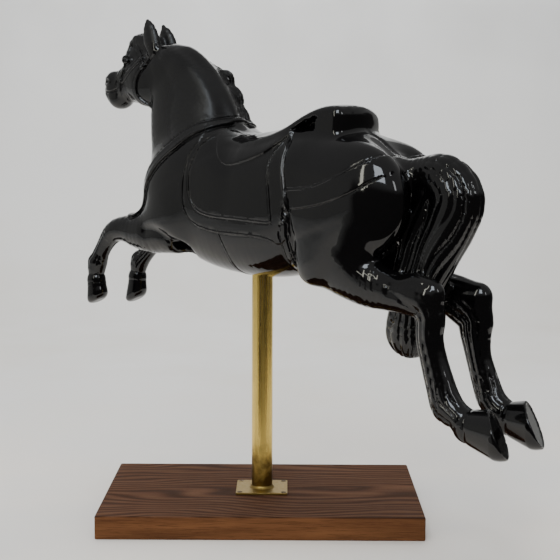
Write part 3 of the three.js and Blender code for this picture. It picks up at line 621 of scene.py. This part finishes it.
def hind_leg_relief(along, length):
    """Sinews down the cannon, the hock's hollows, the fetlock's hair and the groove over the hoof."""
    run, a, b = along.T
    turn = np.arctan2(b, a)
    side = np.abs(turn)
    back = length - run
    g = -CORONET_RING * gauss(back - 6, 2.0)
    for angle, depth, width in HIND_SINEWS:
        drift = 0.12 * np.sin(run / 30 + angle)
        g -= within(back, *HIND_CANNON) * depth * gauss(side - angle - drift, width)
    tuft = within(back, *FETLOCK_HAIR) * ease(2.3 - side, 0.5)
    g -= tuft * HAIR_DEPTH * (1 - np.abs(np.sin(4.5 * turn + 0.5 * np.sin(run / 9)))) ** 2
    hock = within(back, *HOCK)
    spread = 0.35 + 0.75 * clamp((back - 168) / 50, 0, 1)
    for part, depth in ((1.0, 2.2), (0.42, 1.6)):
        g -= hock * depth * gauss(side - spread * part, 0.13)
    return g - hock * 1.8 * gauss(side - 1.75 - 0.25 * np.sin(run / 14), 0.2)


def lock_relief(along, count, depth, sway):
    """Grooves that run along a lock of hair, drifting together and apart."""
    run, a, b = along.T
    turn = np.arctan2(b, a)
    u = count * turn / (2 * math.pi) + sway * np.sin(run / 58 + turn + 0.6)
    u += 0.6 * sway * np.sin(run / 31 + 2 * turn + 1.2)
    groove = np.round(u)
    strong = 0.62 + 0.38 * np.sin(2.4 * groove + run / 47)
    valley = 0.5 + 0.5 * np.cos(2 * math.pi * np.abs(u - groove))
    return -depth * strong * (0.75 * valley ** 3 + 0.25 * valley)


def mane_relief(P):
    """Locks sweep down the crest and fan out to the lobes of the free edge."""
    coarse_lock, fine_lock, sway = 14.0, 4.7, 2.0
    gone_x, gone_z = CREST_TOP[0] - P[:, 0], CREST_TOP[1] - P[:, 2]
    down = CREST_WAY[0] * gone_x + CREST_WAY[1] * gone_z
    inward = CREST_WAY[0] * gone_z - CREST_WAY[1] * gone_x
    place = MANE_LEAN * inward - P[:, 1] - MANE_FAN * down + sway * np.sin(down / 15 - P[:, 1] / 12)
    coarse = place / coarse_lock
    fine = place / fine_lock + 0.25 * np.sin(down / 9)
    return -2.2 * gauss(coarse - np.round(coarse), 0.15) - 2.0 * gauss(fine - np.round(fine), 0.25)


HAIR = {
    "tail": lambda along: lock_relief(along, 15, 3.2, 0.75) * ease(along[:, 0] - 84, 60),
    "tailLock": lambda along: lock_relief(along, 11, 2.6, 0.7),
    "forelock": lambda along: lock_relief(along, 7, 2.0, 0.42),
}


def limb_relief(name, along):
    """How high a limb's own carving stands."""
    if name in HAIR:
        return HAIR[name](along)
    if name in ("foreLeft", "foreRight"):
        return fore_leg_relief(along, LENGTH[name])
    if name in ("hindLeft", "hindRight"):
        return hind_leg_relief(along, LENGTH[name])
    return 0.0


# ---------- the whole horse
def turned(P, side):
    """The points as a form on the left flank sees them."""
    Q = P.copy()
    if side == "both":
        Q[:, 1] = np.abs(Q[:, 1])
    elif side == "right":
        Q[:, 1] = -Q[:, 1]
    return Q


def saddle_distance(P):
    """The seat and its cantle, which falls away to its ends, with a hollow in each flank."""
    X, Y, Z = P.T
    side = np.abs(Y)
    aft = clamp((CANTLE_START - X) / CANTLE_RUN, 0, 1)
    bow = aft * Y ** 2 * SADDLE_BOW
    bowed_x = X - bow
    bowed_z = Z + SADDLE_DROP * bow - SADDLE_TWIST * aft * Y
    half = np.interp(X, SADDLE_PLACES, SADDLE_HALF_WIDTHS)
    block = meet(outline("saddle", bowed_x, bowed_z), side - half, SADDLE_EDGE)
    hollow = np.maximum(outline("recess", bowed_x, bowed_z), RECESS_INSIDE - side)
    return meet(block, -hollow, RECESS_EDGE)


def mane_distance(P, fine):
    """The mane hangs on the right of the crest; its free edge is cut into lobes."""
    X, Y, Z = P.T
    over = ease(-Y - MANE_TURN, 2 * MANE_TURN)
    shape = (1 - over) * outline("nape", X, Z) + over * outline("mane", X, Z)
    d = meet(shape - MANE_SWELL, np.abs(Y + MANE_HALF) - MANE_HALF, MANE_EDGE)
    if fine:
        near = np.abs(d) < NEAR_SKIN
        d[near] -= mane_relief(P[near])
    return d


def horse(P, fine=True):
    """Roughly how far each point is outside the horse, below 0 inside it."""
    d = np.full(len(P), FAR)

    def add_limb(name):
        blend, side = LIMBS[name][:2]
        own, along = limb_distance(name, turned(P, side))
        if fine:
            near = own < NEAR_SKIN
            own[near] -= limb_relief(name, along[near])
        return join(d, own, blend)

    def add_mass(name):
        blend, side, centre, radii, tilt = MASSES[name]
        return join(d, mass_distance(centre, radii, tilt, turned(P, side)), blend)

    def add_part(m, distance, blend):
        own = np.full(len(P), FAR)
        own[m] = distance
        return join(d, own, blend)

    for name in ("trunk", "neck", "crest"):
        d = add_limb(name)
    for name in ("haunch", "shoulder", "stifle", "throat"):
        d = add_mass(name)
    for name in ("foreLeft", "foreRight", "hindLeft", "hindRight", "pointLeft", "pointRight", "head"):
        d = add_limb(name)
    for name in ("cheek", "chin", "muzzle", "brow", "eye"):
        d = add_mass(name)
    d = meet(d, -mass_distance(ARMPIT_CENTRE, ARMPIT_RADII, 0, turned(P, "both")), ARMPIT_BLEND)

    near = np.where(np.abs(d) < NEAR_SKIN)[0]
    side = np.abs(P[near, 1])
    d[near] -= body_relief(P[near], side)
    if fine:
        d[near] -= head_relief(P[near], side)

    m = in_box(P, -260, 130, 480, 700)
    d = add_part(m, saddle_distance(P[m]), SADDLE_BLEND)
    m = in_box(P, 20, 240, 540)
    m = m[P[m, 1] < 30]
    d = add_part(m, mane_distance(P[m], fine), MANE_BLEND)
    for name in ("tail", "tailLock"):
        d = add_limb(name)
    for hoof in HOOVES.values():
        d = join(d, hoof_distance(hoof, turned(P, hoof[1])), hoof[0])
    for name in ("earLeft", "earRight", "forelock"):
        d = add_limb(name)
    return d


# ---------- a skin over the field
FIELD_LOW = np.array([-492.0, -116.0, 130.0])
FIELD_HIGH = np.array([346.0, 116.0, 772.0])
CELL = 4.4
COARSE_STEP = 4  # cells between the points where the field is first felt for
BATCH = 200000  # points worked out at a time
NEAR_MARGIN = 9  # more than any carving stands
FEELER = 0.35  # how far round a place its slope is felt for
NORMAL_FEELER = 0.5
SPLIT_OVER = 1.35  # an edge is halved where it is this many times too long
CORNERS = [(i, j, k) for i in (0, 1) for j in (0, 1) for k in (0, 1)]


def in_batches(P, fine=True):
    parts = np.array_split(P, max(1, len(P) // BATCH))
    return np.concatenate([horse(part, fine) for part in parts])


def corner_parts(grid, size):
    """A grid as it is seen from each of the eight corners of its cells."""
    return [grid[i:size[0] + i, j:size[1] + j, k:size[2] + k] for i, j, k in CORNERS]


def spread_out(grid):
    """The coarse grid's values repeated over the fine one."""
    for axis in range(3):
        grid = np.repeat(grid, COARSE_STEP, axis)
    return grid


def field_on_grid():
    """The field at the points of a grid, worked out closely only near the surface."""
    n = (np.ceil((FIELD_HIGH - FIELD_LOW) / CELL / COARSE_STEP).astype(int)) * COARSE_STEP + 1
    axes = [low + CELL * np.arange(count)[::COARSE_STEP] for low, count in zip(FIELD_LOW, n)]
    places = np.stack(np.meshgrid(*axes, indexing="ij"), -1)
    coarse = in_batches(places.reshape(-1, 3), False).reshape(places.shape[:3])
    near = np.abs(coarse) < CELL * COARSE_STEP * 1.25 + NEAR_MARGIN
    blocks = np.any(corner_parts(near, [k - 1 for k in near.shape]), axis=0)
    grid = spread_out(coarse)[:n[0], :n[1], :n[2]].astype(np.float32)
    live = spread_out(blocks)
    close = np.zeros(n, bool)
    for part in corner_parts(close, live.shape):
        part |= live
    ids = np.argwhere(close)
    values = in_batches(FIELD_LOW + ids * CELL)
    values[values == 0] = 1e-5
    grid[tuple(ids.T)] = values
    return grid


def edge_quads(inside, index, axis):
    """A quad across each of the grid's edges along one axis that crosses the surface."""
    size = inside.shape
    before = np.take(inside, range(size[axis] - 1), axis)
    after = np.take(inside, range(1, size[axis]), axis)
    u, v = (axis + 1) % 3, (axis + 2) % 3
    edges = np.argwhere(before != after)
    whole = (edges[:, u] > 0) & (edges[:, v] > 0)
    whole &= (edges[:, u] < size[u] - 1) & (edges[:, v] < size[v] - 1)
    edges = edges[whole]
    corners = []
    for back_u, back_v in ((1, 1), (0, 1), (0, 0), (1, 0)):
        cell = edges.copy()
        cell[:, u] -= back_u
        cell[:, v] -= back_v
        corners.append(index[tuple(cell.T)])
    quads = np.stack(corners, 1)
    outward = before[tuple(edges.T)]
    quads[~outward] = quads[~outward][:, ::-1]
    return quads


def surface_net(grid):
    """A point in each cell that the surface crosses, and the quads between them."""
    inside = grid < 0
    size = [k - 1 for k in grid.shape]
    count = sum(part.astype(np.int8) for part in corner_parts(inside, size))
    active = (count > 0) & (count < 8)
    cells = np.argwhere(active)
    index = np.full(size, -1, np.int32)
    index[active] = np.arange(len(cells))
    values = np.stack([part[active] for part in corner_parts(grid, size)], 1)
    total = np.zeros((len(cells), 3))
    hits = np.zeros(len(cells))
    for a, b in combinations(range(8), 2):
        start = np.array(CORNERS[a], float)
        way = np.array(CORNERS[b], float) - start
        if np.abs(way).sum() != 1:
            continue
        crossed = (values[:, a] < 0) != (values[:, b] < 0)
        t = values[crossed, a] / (values[crossed, a] - values[crossed, b])
        total[crossed] += start + t[:, None] * way
        hits[crossed] += 1
    points = FIELD_LOW + (cells + total / hits[:, None]) * CELL
    return points, np.vstack([edge_quads(inside, index, axis) for axis in range(3)])


TETRAHEDRON = np.array([(1, -1, -1), (-1, -1, 1), (-1, 1, -1), (1, 1, 1)], float)


def slope(P, reach):
    """The field's value and its gradient, from four points round each place."""
    values = [horse(P + reach * way) for way in TETRAHEDRON]
    gradient = sum(value[:, None] * way for value, way in zip(values, TETRAHEDRON)) / (4 * reach)
    return sum(values) / 4, gradient


def settle(P, furthest):
    """Draws points onto the carved surface along its steepest way."""
    for _ in range(2):
        d, gradient = slope(P, FEELER)
        move = clamp(d / np.maximum((gradient * gradient).sum(1), 0.3), -furthest, furthest) * 0.9
        P = P - move[:, None] * gradient
    return P


PLAIN_EDGE = 5.2
TOOLED_LINES = ("panel", "bead", "girth", "girth line", "breech top", "breech low")


def wanted(P):
    """How long a triangle's edge may be at each place; the far flank is plainer."""
    X, Y, Z = P.T
    side = np.abs(Y)
    want = np.full(len(P), PLAIN_EDGE)
    body = in_box(P, -285, 215, 330, 610)
    body = body[side[body] > 18]
    x, z = X[body], Z[body]
    near = np.full(len(body), FAR)
    for name in TOOLED_LINES:
        near = np.minimum(near, line(name, x, z))
    for name, less in (("blanket", 0), ("flap", 1), ("collar", 1)):
        near = np.minimum(near, np.abs(outline(name, x, z)) + less)
    shown = Y[body] > 0
    on_line = np.where(shown, 1.6, 2.8)
    by_line = np.where(shown, 3.0, 4.4)
    want[body] = np.where(near < 2.8, on_line, np.where(near < 5, by_line, PLAIN_EDGE))
    head = (X > 196) & (Z > 605)
    mane = (outline("mane", X, Z) < 4) & (Y < 8) & (Z > 570)
    tail = (X < -262) & (side < 34) & (Z > 250)
    hind_hooves = (X < -330) & (Z < 240)
    fore_hooves = (X > 270) & (Z < 400)
    for zone, edge in ((head, 2.2), (mane, 1.8), (tail, 2.6), (hind_hooves, 3.0), (fore_hooves, 3.2)):
        want[zone] = edge
    return want


def split_edges(points, tris, is_long):
    """Halves the edges that is_long picks, and cuts their triangles to suit."""
    edges = np.sort(tris[:, [0, 1, 1, 2, 2, 0]].reshape(-1, 2), axis=1)
    keys, back = np.unique(edges[:, 0].astype(np.int64) * len(points) + edges[:, 1], return_inverse=True)
    ends = np.stack([keys // len(points), keys % len(points)], 1)
    pick = is_long(points[ends[:, 0]], points[ends[:, 1]])
    made = np.full(len(ends), -1)
    made[pick] = len(points) + np.arange(pick.sum())
    fresh = points[ends[pick]].mean(1)
    halves = made[back].reshape(-1, 3)
    count = (halves >= 0).sum(1)
    out = [tris[count == 0]]
    for turn in range(3):
        corner = np.roll(tris, -turn, 1)
        half = np.roll(halves, -turn, 1)
        one = (count == 1) & (half[:, 0] >= 0)
        a, b, c = corner[one].T
        p = half[one, 0]
        out += [np.stack([a, p, c], 1), np.stack([p, b, c], 1)]
        two = (count == 2) & (half[:, 2] < 0)
        a, b, c = corner[two].T
        p, q = half[two, 0], half[two, 1]
        out += [np.stack([p, b, q], 1), np.stack([a, p, q], 1), np.stack([a, q, c], 1)]
    a, b, c = tris[count == 3].T
    p, q, r = halves[count == 3].T
    out += [np.stack(v, 1) for v in ((a, p, r), (p, b, q), (r, q, c), (p, q, r))]
    return fresh, np.vstack(out)


def refine(points, tris, coarser):
    """Splits the triangles' edges until they are short enough, with the new points on the surface."""
    for _ in range(3):
        fresh, tris = split_edges(
            points, tris,
            lambda a, b: np.linalg.norm(a - b, axis=1) > coarser * SPLIT_OVER * wanted((a + b) / 2))
        if not len(fresh):
            break
        points = np.vstack([points, settle(fresh, 1.5)])
    return points, tris


def to_world(P):
    """Turns points or directions from the horse's own frame to the part's."""
    c, s = math.cos(HEADING), math.sin(HEADING)
    return np.stack([c * P[:, 0] - s * P[:, 1], s * P[:, 0] + c * P[:, 1], P[:, 2]], 1)


def placed(P):
    """Points of the horse's own frame, where they are in the scene."""
    return (to_world(np.array(P, float)) + (0, 0, HORSE_RAISE)) * MM


def mesh_object(name, points, faces):
    mesh = bpy.data.meshes.new(name)
    mesh.from_pydata(points.tolist(), [], faces.tolist())
    mesh.validate()
    mesh.shade_smooth()
    obj = bpy.data.objects.new(name, mesh)
    bpy.context.scene.collection.objects.link(obj)
    return obj


def carve_horse():
    """The whole casting as one mesh, shaded by the field's own gradient."""
    points, quads = surface_net(field_on_grid())
    points = settle(points, 0.45 * CELL)
    tris = np.vstack([quads[:, [0, 1, 2]], quads[:, [0, 2, 3]]])
    points, tris = refine(points, tris, 1.0)
    piece = mesh_object("horse_casting", np.clip(placed(points), *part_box("horse")), tris)
    normals = slope(points, NORMAL_FEELER)[1]
    normals /= np.linalg.norm(normals, axis=1)[:, None]
    piece.data.normals_split_custom_set_from_vertices(to_world(normals))
    return piece


# ---------- materials
class Nodes:
    """A short way to write a node tree."""

    def __init__(self, tree):
        self.tree = tree

    def feed(self, socket, value):
        """Links a value that comes from a node, or sets a plain one on the socket."""
        if isinstance(value, bpy.types.NodeSocket):
            self.tree.links.new(value, socket)
        elif socket.type == "RGBA" and len(value) == 3:
            socket.default_value = (*value, 1)
        else:
            socket.default_value = value

    def node(self, kind, inputs, output=0, **settings):
        """A new node's output; inputs and output go by name or by number."""
        made = self.tree.nodes.new(kind)
        for name, value in settings.items():
            setattr(made, name, value)
        for key, value in inputs.items():
            self.feed(made.inputs[key], value)
        return made.outputs[output]

    def graded(self, value, low, high, to_low, to_high, **settings):
        ends = {"Value": value, "From Min": low, "From Max": high, "To Min": to_low, "To Max": to_high}
        return self.node("ShaderNodeMapRange", ends, **settings)

    def mixed(self, amount, under, over):
        """Two colours mixed; the node's colour sockets are numbers 6 and 7, and its result number 2."""
        return self.node("ShaderNodeMix", {0: amount, 6: under, 7: over}, 2, data_type="RGBA")

    def added(self, a, b, share=1.0):
        """a plus a share of b."""
        part = self.node("ShaderNodeMath", {0: b, 1: share}, operation="MULTIPLY")
        return self.node("ShaderNodeMath", {0: a, 1: part}, operation="ADD")


class Surface(Nodes):
    """A new material and its shader."""

    def __init__(self, name):
        self.material = bpy.data.materials.new(name)
        self.material.use_nodes = True
        super().__init__(self.material.node_tree)
        self.shader = self.tree.nodes["Principled BSDF"]
        self.place = self.node("ShaderNodeTexCoord", {}, "Object")

    def along(self, axis):
        return self.node("ShaderNodeSeparateXYZ", {0: self.place}, axis)

    def stretched(self, x, y, z):
        return self.node("ShaderNodeMapping", {"Vector": self.place, "Scale": (x, y, z)})

    def noise(self, scale, detail, rough, distort=0.0, vector=None):
        grain = {"Scale": scale, "Detail": detail, "Roughness": rough, "Distortion": distort}
        return self.node("ShaderNodeTexNoise", {"Vector": vector or self.place, **grain}, "Fac")

    def ramp(self, amount, stops):
        colours = self.node("ShaderNodeValToRGB", {"Fac": amount}, "Color")
        elements = colours.node.color_ramp.elements
        while len(elements) < len(stops):
            elements.new(0.5)
        for element, (position, colour) in zip(elements, stops):
            element.position = position
            element.color = (*colour, 1)
        return colours

    def distance_to(self, point):
        return self.node("ShaderNodeVectorMath", {0: self.place, 1: point}, "Value", operation="DISTANCE")

    def set(self, **values):
        for name, value in values.items():
            self.feed(self.shader.inputs[name.replace("_", " ")], value)

    def bump(self, height, strength, distance):
        inputs = {"Height": height, "Strength": strength, "Distance": distance}
        self.set(Normal=self.node("ShaderNodeBump", inputs))


NECK_SIDE = (95, 42.5, 620)
EAR_TIPS = (210, 0.5, 736)


def black_glaze():
    """Glossy black, duller on the neck and the ears."""
    m = Surface("black_glaze")
    deep, pale = (0.0018, 0.0018, 0.002), (0.0035, 0.0032, 0.0034)
    neck, ears = (tuple(place) for place in placed([NECK_SIDE, EAR_TIPS]))
    haze = m.added(m.noise(14, 5, 0.65), m.noise(420, 2, 0.6), 0.25)
    dull_neck = m.graded(m.distance_to(neck), 0.05, 0.078, 0.40, 0.0)
    dull_ears = m.graded(m.distance_to(ears), 0.032, 0.042, 0.34, 0.0)
    polish = m.graded(haze, 0.3, 1.0, 0.03, 0.10)
    m.set(Base_Color=m.ramp(m.noise(6, 4, 0.6), [(0.3, deep), (0.7, pale)]))
    m.set(Roughness=m.added(polish, m.added(dull_neck, dull_ears)))
    m.bump(m.added(m.noise(38, 2, 0.5), m.noise(150, 2, 0.5), 0.3), 0.10, 0.001)
    return m.material


def brass(name, dark_below, clean_above, base, dark, rough):
    """Brass that is tarnished below one height and clean above another."""
    m = Surface(name)
    drawn = m.noise(1.0, 4, 0.6, 0, m.stretched(240, 240, 5))
    cloud = m.noise(22, 5, 0.6, 0.4)
    low_down = m.graded(m.along("Z"), dark_below, clean_above, 1.0, 0.0)
    stain = m.graded(m.added(low_down, m.graded(cloud, 0.3, 0.7, -0.35, 0.35)), 0.35, 0.75, 0.0, 1.0)
    worn = tuple(0.72 * part for part in base)
    colour = m.mixed(m.graded(cloud, 0.3, 0.75, 0.0, 0.6), base, worn)
    cover = m.graded(stain, 0.0, 1.0, 0.0, 0.85)
    m.set(Base_Color=m.mixed(cover, colour, dark), Metallic=1.0)
    m.set(Roughness=m.added(m.graded(drawn, 0.3, 0.7, *rough), stain, 0.12))
    m.bump(drawn, 0.06, 0.0004)
    return m.material


def oak(top):
    """Stained oak with arched grain and open pores, paler on the sawn edges below the top face."""
    m = Surface("stained_oak")
    early, between, late = (0.040, 0.017, 0.0085), (0.085, 0.036, 0.0175), (0.135, 0.062, 0.032)
    dark_flame, pore = (0.050, 0.021, 0.0105), (0.016, 0.007, 0.004)
    sawn_pale, sawn_dark, sawn_pore = (0.21, 0.088, 0.034), (0.115, 0.047, 0.019), (0.05, 0.02, 0.009)
    warp = m.noise(3.2, 2, 0.5, 0, m.stretched(0.7, 2.2, 1))
    sway = m.node("ShaderNodeCombineXYZ", {"Y": m.graded(warp, 0, 1, -1.1, 1.1)})
    bent = m.node("ShaderNodeVectorMath", {0: m.stretched(1.5, 9.0, 9.0), 1: sway}, operation="ADD")
    waves = {"Vector": bent, "Scale": 1.9, "Distortion": 3.2, "Detail": 3.0, "Detail Scale": 0.9}
    rings = m.node("ShaderNodeTexWave", waves, "Fac", wave_type="BANDS", bands_direction="Y")
    pores = m.noise(1.0, 4, 0.75, 0.2, m.stretched(26, 900, 900))
    flame = m.noise(1.0, 5, 0.6, 0.5, m.stretched(6, 90, 90))
    face = m.ramp(rings, [(0.0, early), (0.45, between), (1.0, late)])
    face = m.mixed(m.graded(flame, 0.35, 0.7, 0.0, 0.55), face, dark_flame)
    face = m.mixed(m.graded(pores, 0.52, 0.68, 0.0, 0.75), face, pore)
    sawn = m.mixed(m.graded(flame, 0.3, 0.7, 0.0, 1.0), sawn_pale, sawn_dark)
    sawn = m.mixed(m.graded(pores, 0.5, 0.66, 0.0, 0.7), sawn, sawn_pore)
    on_edge = m.graded(m.along("Z"), top - 0.0022, top - 0.0008, 1.0, 0.0)
    m.set(Base_Color=m.mixed(on_edge, face, sawn), Roughness=m.graded(flame, 0.2, 0.8, 0.72, 0.88))
    m.set(Specular_IOR_Level=0.12)
    m.bump(m.added(m.graded(pores, 0.5, 0.7, 1.0, 0.0), rings, 0.25), 0.3, 0.0006)
    return m.material


def paint(obj, material):
    obj.data.materials.clear()
    obj.data.materials.append(material)


def paint_stand():
    """Polished pole, duller plate, dark screws and the oak board."""
    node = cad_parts
    tarnish, screw_tarnish = (0.085, 0.045, 0.016), (0.05, 0.03, 0.015)
    top = float(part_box("base_board")[1][2])
    pole = brass("pole_brass", top + 0.01, top + 0.09, (0.86, 0.62, 0.17), tarnish, (0.2, 0.36))
    paint(node["pole"], pole)
    plate = brass("plate_brass", top - 0.02, top + 0.001, (0.36, 0.25, 0.075), tarnish, (0.4, 0.55))
    paint(node["flange_plate"], plate)
    screw_metal = brass("screw_metal", 0, 0.2, (0.3, 0.2, 0.09), screw_tarnish, (0.3, 0.5))
    for number in range(1, 5):
        paint(node["screw_%d" % number], screw_metal)
    paint(node["base_board"], oak(top))


horse_piece = carve_horse()
paint(horse_piece, black_glaze())
paint_stand()
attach(horse_piece, "root")
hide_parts("horse")


# ---------- floor, light and camera
def sheet_painted_light_and_shade():
    """Painted light, warm near the front; painted shade, greyer in the depth and to the left; painted
    light, paler again higher up.
    """
    m = Surface("sheet_painted_light_and_shade")
    # painted light near the front and high up; painted shade in the depth towards the fold and far to the
    # left
    warm, depth_shade, light_high_up = (0.93, 0.86, 0.78), (0.66, 0.64, 0.60), (0.90, 0.90, 0.89)
    far_left_shade, clouded = (0.46, 0.46, 0.45), (0.72, 0.715, 0.70)
    tone = m.mixed(m.graded(m.along("Y"), -0.4, 1.2, 0.0, 1.0), warm, depth_shade)
    tone = m.mixed(m.graded(m.along("Z"), 0.12, 1.1, 0.0, 1.0), tone, light_high_up)
    tone = m.mixed(m.graded(m.along("X"), -1.6, -0.9, 1.0, 0.0), tone, far_left_shade)
    tone = m.mixed(m.graded(m.noise(1.6, 3, 0.6), 0.3, 0.7, 1.0, 0.0), tone, clouded)
    m.set(Base_Color=tone, Roughness=0.9)
    return m.material


def backdrop():
    """A pale sheet that lies on the floor and sweeps up behind."""
    left, middle, right = -3.2, -0.5, 1.25
    near, near_on_left, fold, back, top = -0.5, -2.4, 1.9, 2.9, 4.6
    bend_parts = 12
    bend = back - fold
    rows = [(near, 0.0), (fold, 0.0)]
    for part in range(1, bend_parts + 1):
        turn = math.radians(90 * part / bend_parts)
        rows.append((fold + bend * math.sin(turn), bend * (1 - math.cos(turn))))
    rows.append((back, top))
    points = np.array([(x, y, z) for y, z in rows for x in (left, middle, right)], float)
    points[0, 1] = near_on_left
    starts = [3 * row + column for row in range(len(rows) - 1) for column in (0, 1)]
    return mesh_object("floor_sweep", points, np.array([(k, k + 1, k + 4, k + 3) for k in starts]))


floor = backdrop()
paint(floor, sheet_painted_light_and_shade())


def room():
    """Pale ceiling and left side, dim towards the front and the right, as the glaze mirrors them."""
    leftward = (0.588, -0.809, 0.0)
    dim, pale_left = (0.065, 0.06, 0.06), (0.43, 0.43, 0.415)
    ceiling, plain = (0.40, 0.40, 0.397), (0.74, 0.735, 0.72)
    world = bpy.data.worlds.new("room")
    bpy.context.scene.world = world
    world.use_nodes = True
    m = Nodes(world.node_tree)
    way = m.node("ShaderNodeTexCoord", {}, "Generated")
    toward = m.node("ShaderNodeVectorMath", {0: way, 1: leftward}, "Value", operation="DOT_PRODUCT")
    height = m.node("ShaderNodeSeparateXYZ", {0: way}, "Z")
    on_left = m.graded(toward, 0.03, -0.09, 0.0, 1.0, interpolation_type="SMOOTHSTEP")
    above = m.graded(height, 0.22, 0.42, 0.0, 1.0, interpolation_type="SMOOTHSTEP")
    mirrored = m.mixed(above, m.mixed(on_left, dim, pale_left), ceiling)
    in_sight = m.node("ShaderNodeLightPath", {}, "Is Camera Ray")
    m.feed(m.tree.nodes["Background"].inputs["Color"], m.mixed(in_sight, mirrored, plain))


def area(name, place, aim, size, watts, colour=(1, 1, 1), mirrored=False):
    """A soft rectangular light that faces a point; the glaze shows it only where it is mirrored."""
    light = bpy.data.lights.new(name, "AREA")
    light.shape = "RECTANGLE"
    light.size, light.size_y = size
    light.energy = watts
    light.color = colour
    obj = bpy.data.objects.new(name, light)
    bpy.context.scene.collection.objects.link(obj)
    obj.location = place
    obj.rotation_euler = (Vector(aim) - Vector(place)).to_track_quat("-Z", "Y").to_euler()
    obj.visible_glossy = mirrored


# name: (azimuth, lowest and highest elevation, width, radiance, colour); the angles are in degrees
WINDOWS = {
    "window_warm": (-131, 12, 52, 4, 9, (1.0, 0.99, 0.86)),
    "window_cool": (-100, 27, 52, 22, 9, (0.84, 0.92, 1.0)),
    "window_far": (-58, 20, 34, 7, 7, (0.96, 0.98, 1.0)),
}
MIDDLE_HEIGHT = 0.45


def window(name, azimuth, low, high, width, radiance, colour):
    """A bright upright pane, placed by the directions in which it is seen from the horse."""
    distance = 4.0
    way = Vector((math.cos(math.radians(azimuth)), math.sin(math.radians(azimuth)), 0))
    bottom, top = (distance * math.tan(math.radians(angle)) for angle in (low, high))
    size = (2 * distance * math.tan(math.radians(width / 2)), top - bottom)
    aim = Vector((0, 0, MIDDLE_HEIGHT + (bottom + top) / 2))
    watts = radiance * math.pi * size[0] * size[1]
    area(name, aim + way * distance, aim, size, watts, colour, mirrored=True)


room()
area("overhead", place=(-0.3, 0.2, 3.4), aim=(0, 0.2, 0.3), size=(3.0, 2.4), watts=85)
area("wall_wash", place=(-0.2, 1.5, 2.9), aim=(-0.2, 2.9, 1.2), size=(2.8, 0.5), watts=42)
for name, pane in WINDOWS.items():
    window(name, *pane)

CAMERA_PLACE = (0.03872, -2.0436, 0.5787)
CAMERA_LENS = 87.285  # mm, for a sensor 36 mm wide
CAMERA_DOWN = 0.108  # radians, as the next two
CAMERA_TURN = -0.00595
CAMERA_ROLL = 0.00349


def add_camera():
    """Level towards +Y, then turned down a little and rolled about its own axis."""
    lens = bpy.data.cameras.new("camera")
    lens.sensor_width = 36
    lens.lens = CAMERA_LENS
    camera = bpy.data.objects.new("camera", lens)
    bpy.context.scene.collection.objects.link(camera)
    aim = Matrix.Rotation(-CAMERA_TURN, 4, "Z") @ Matrix.Rotation(math.pi / 2 - CAMERA_DOWN, 4, "X")
    camera.matrix_world = Matrix.Translation(CAMERA_PLACE) @ aim @ Matrix.Rotation(CAMERA_ROLL, 4, "Z")
    bpy.context.scene.camera = camera


add_camera()
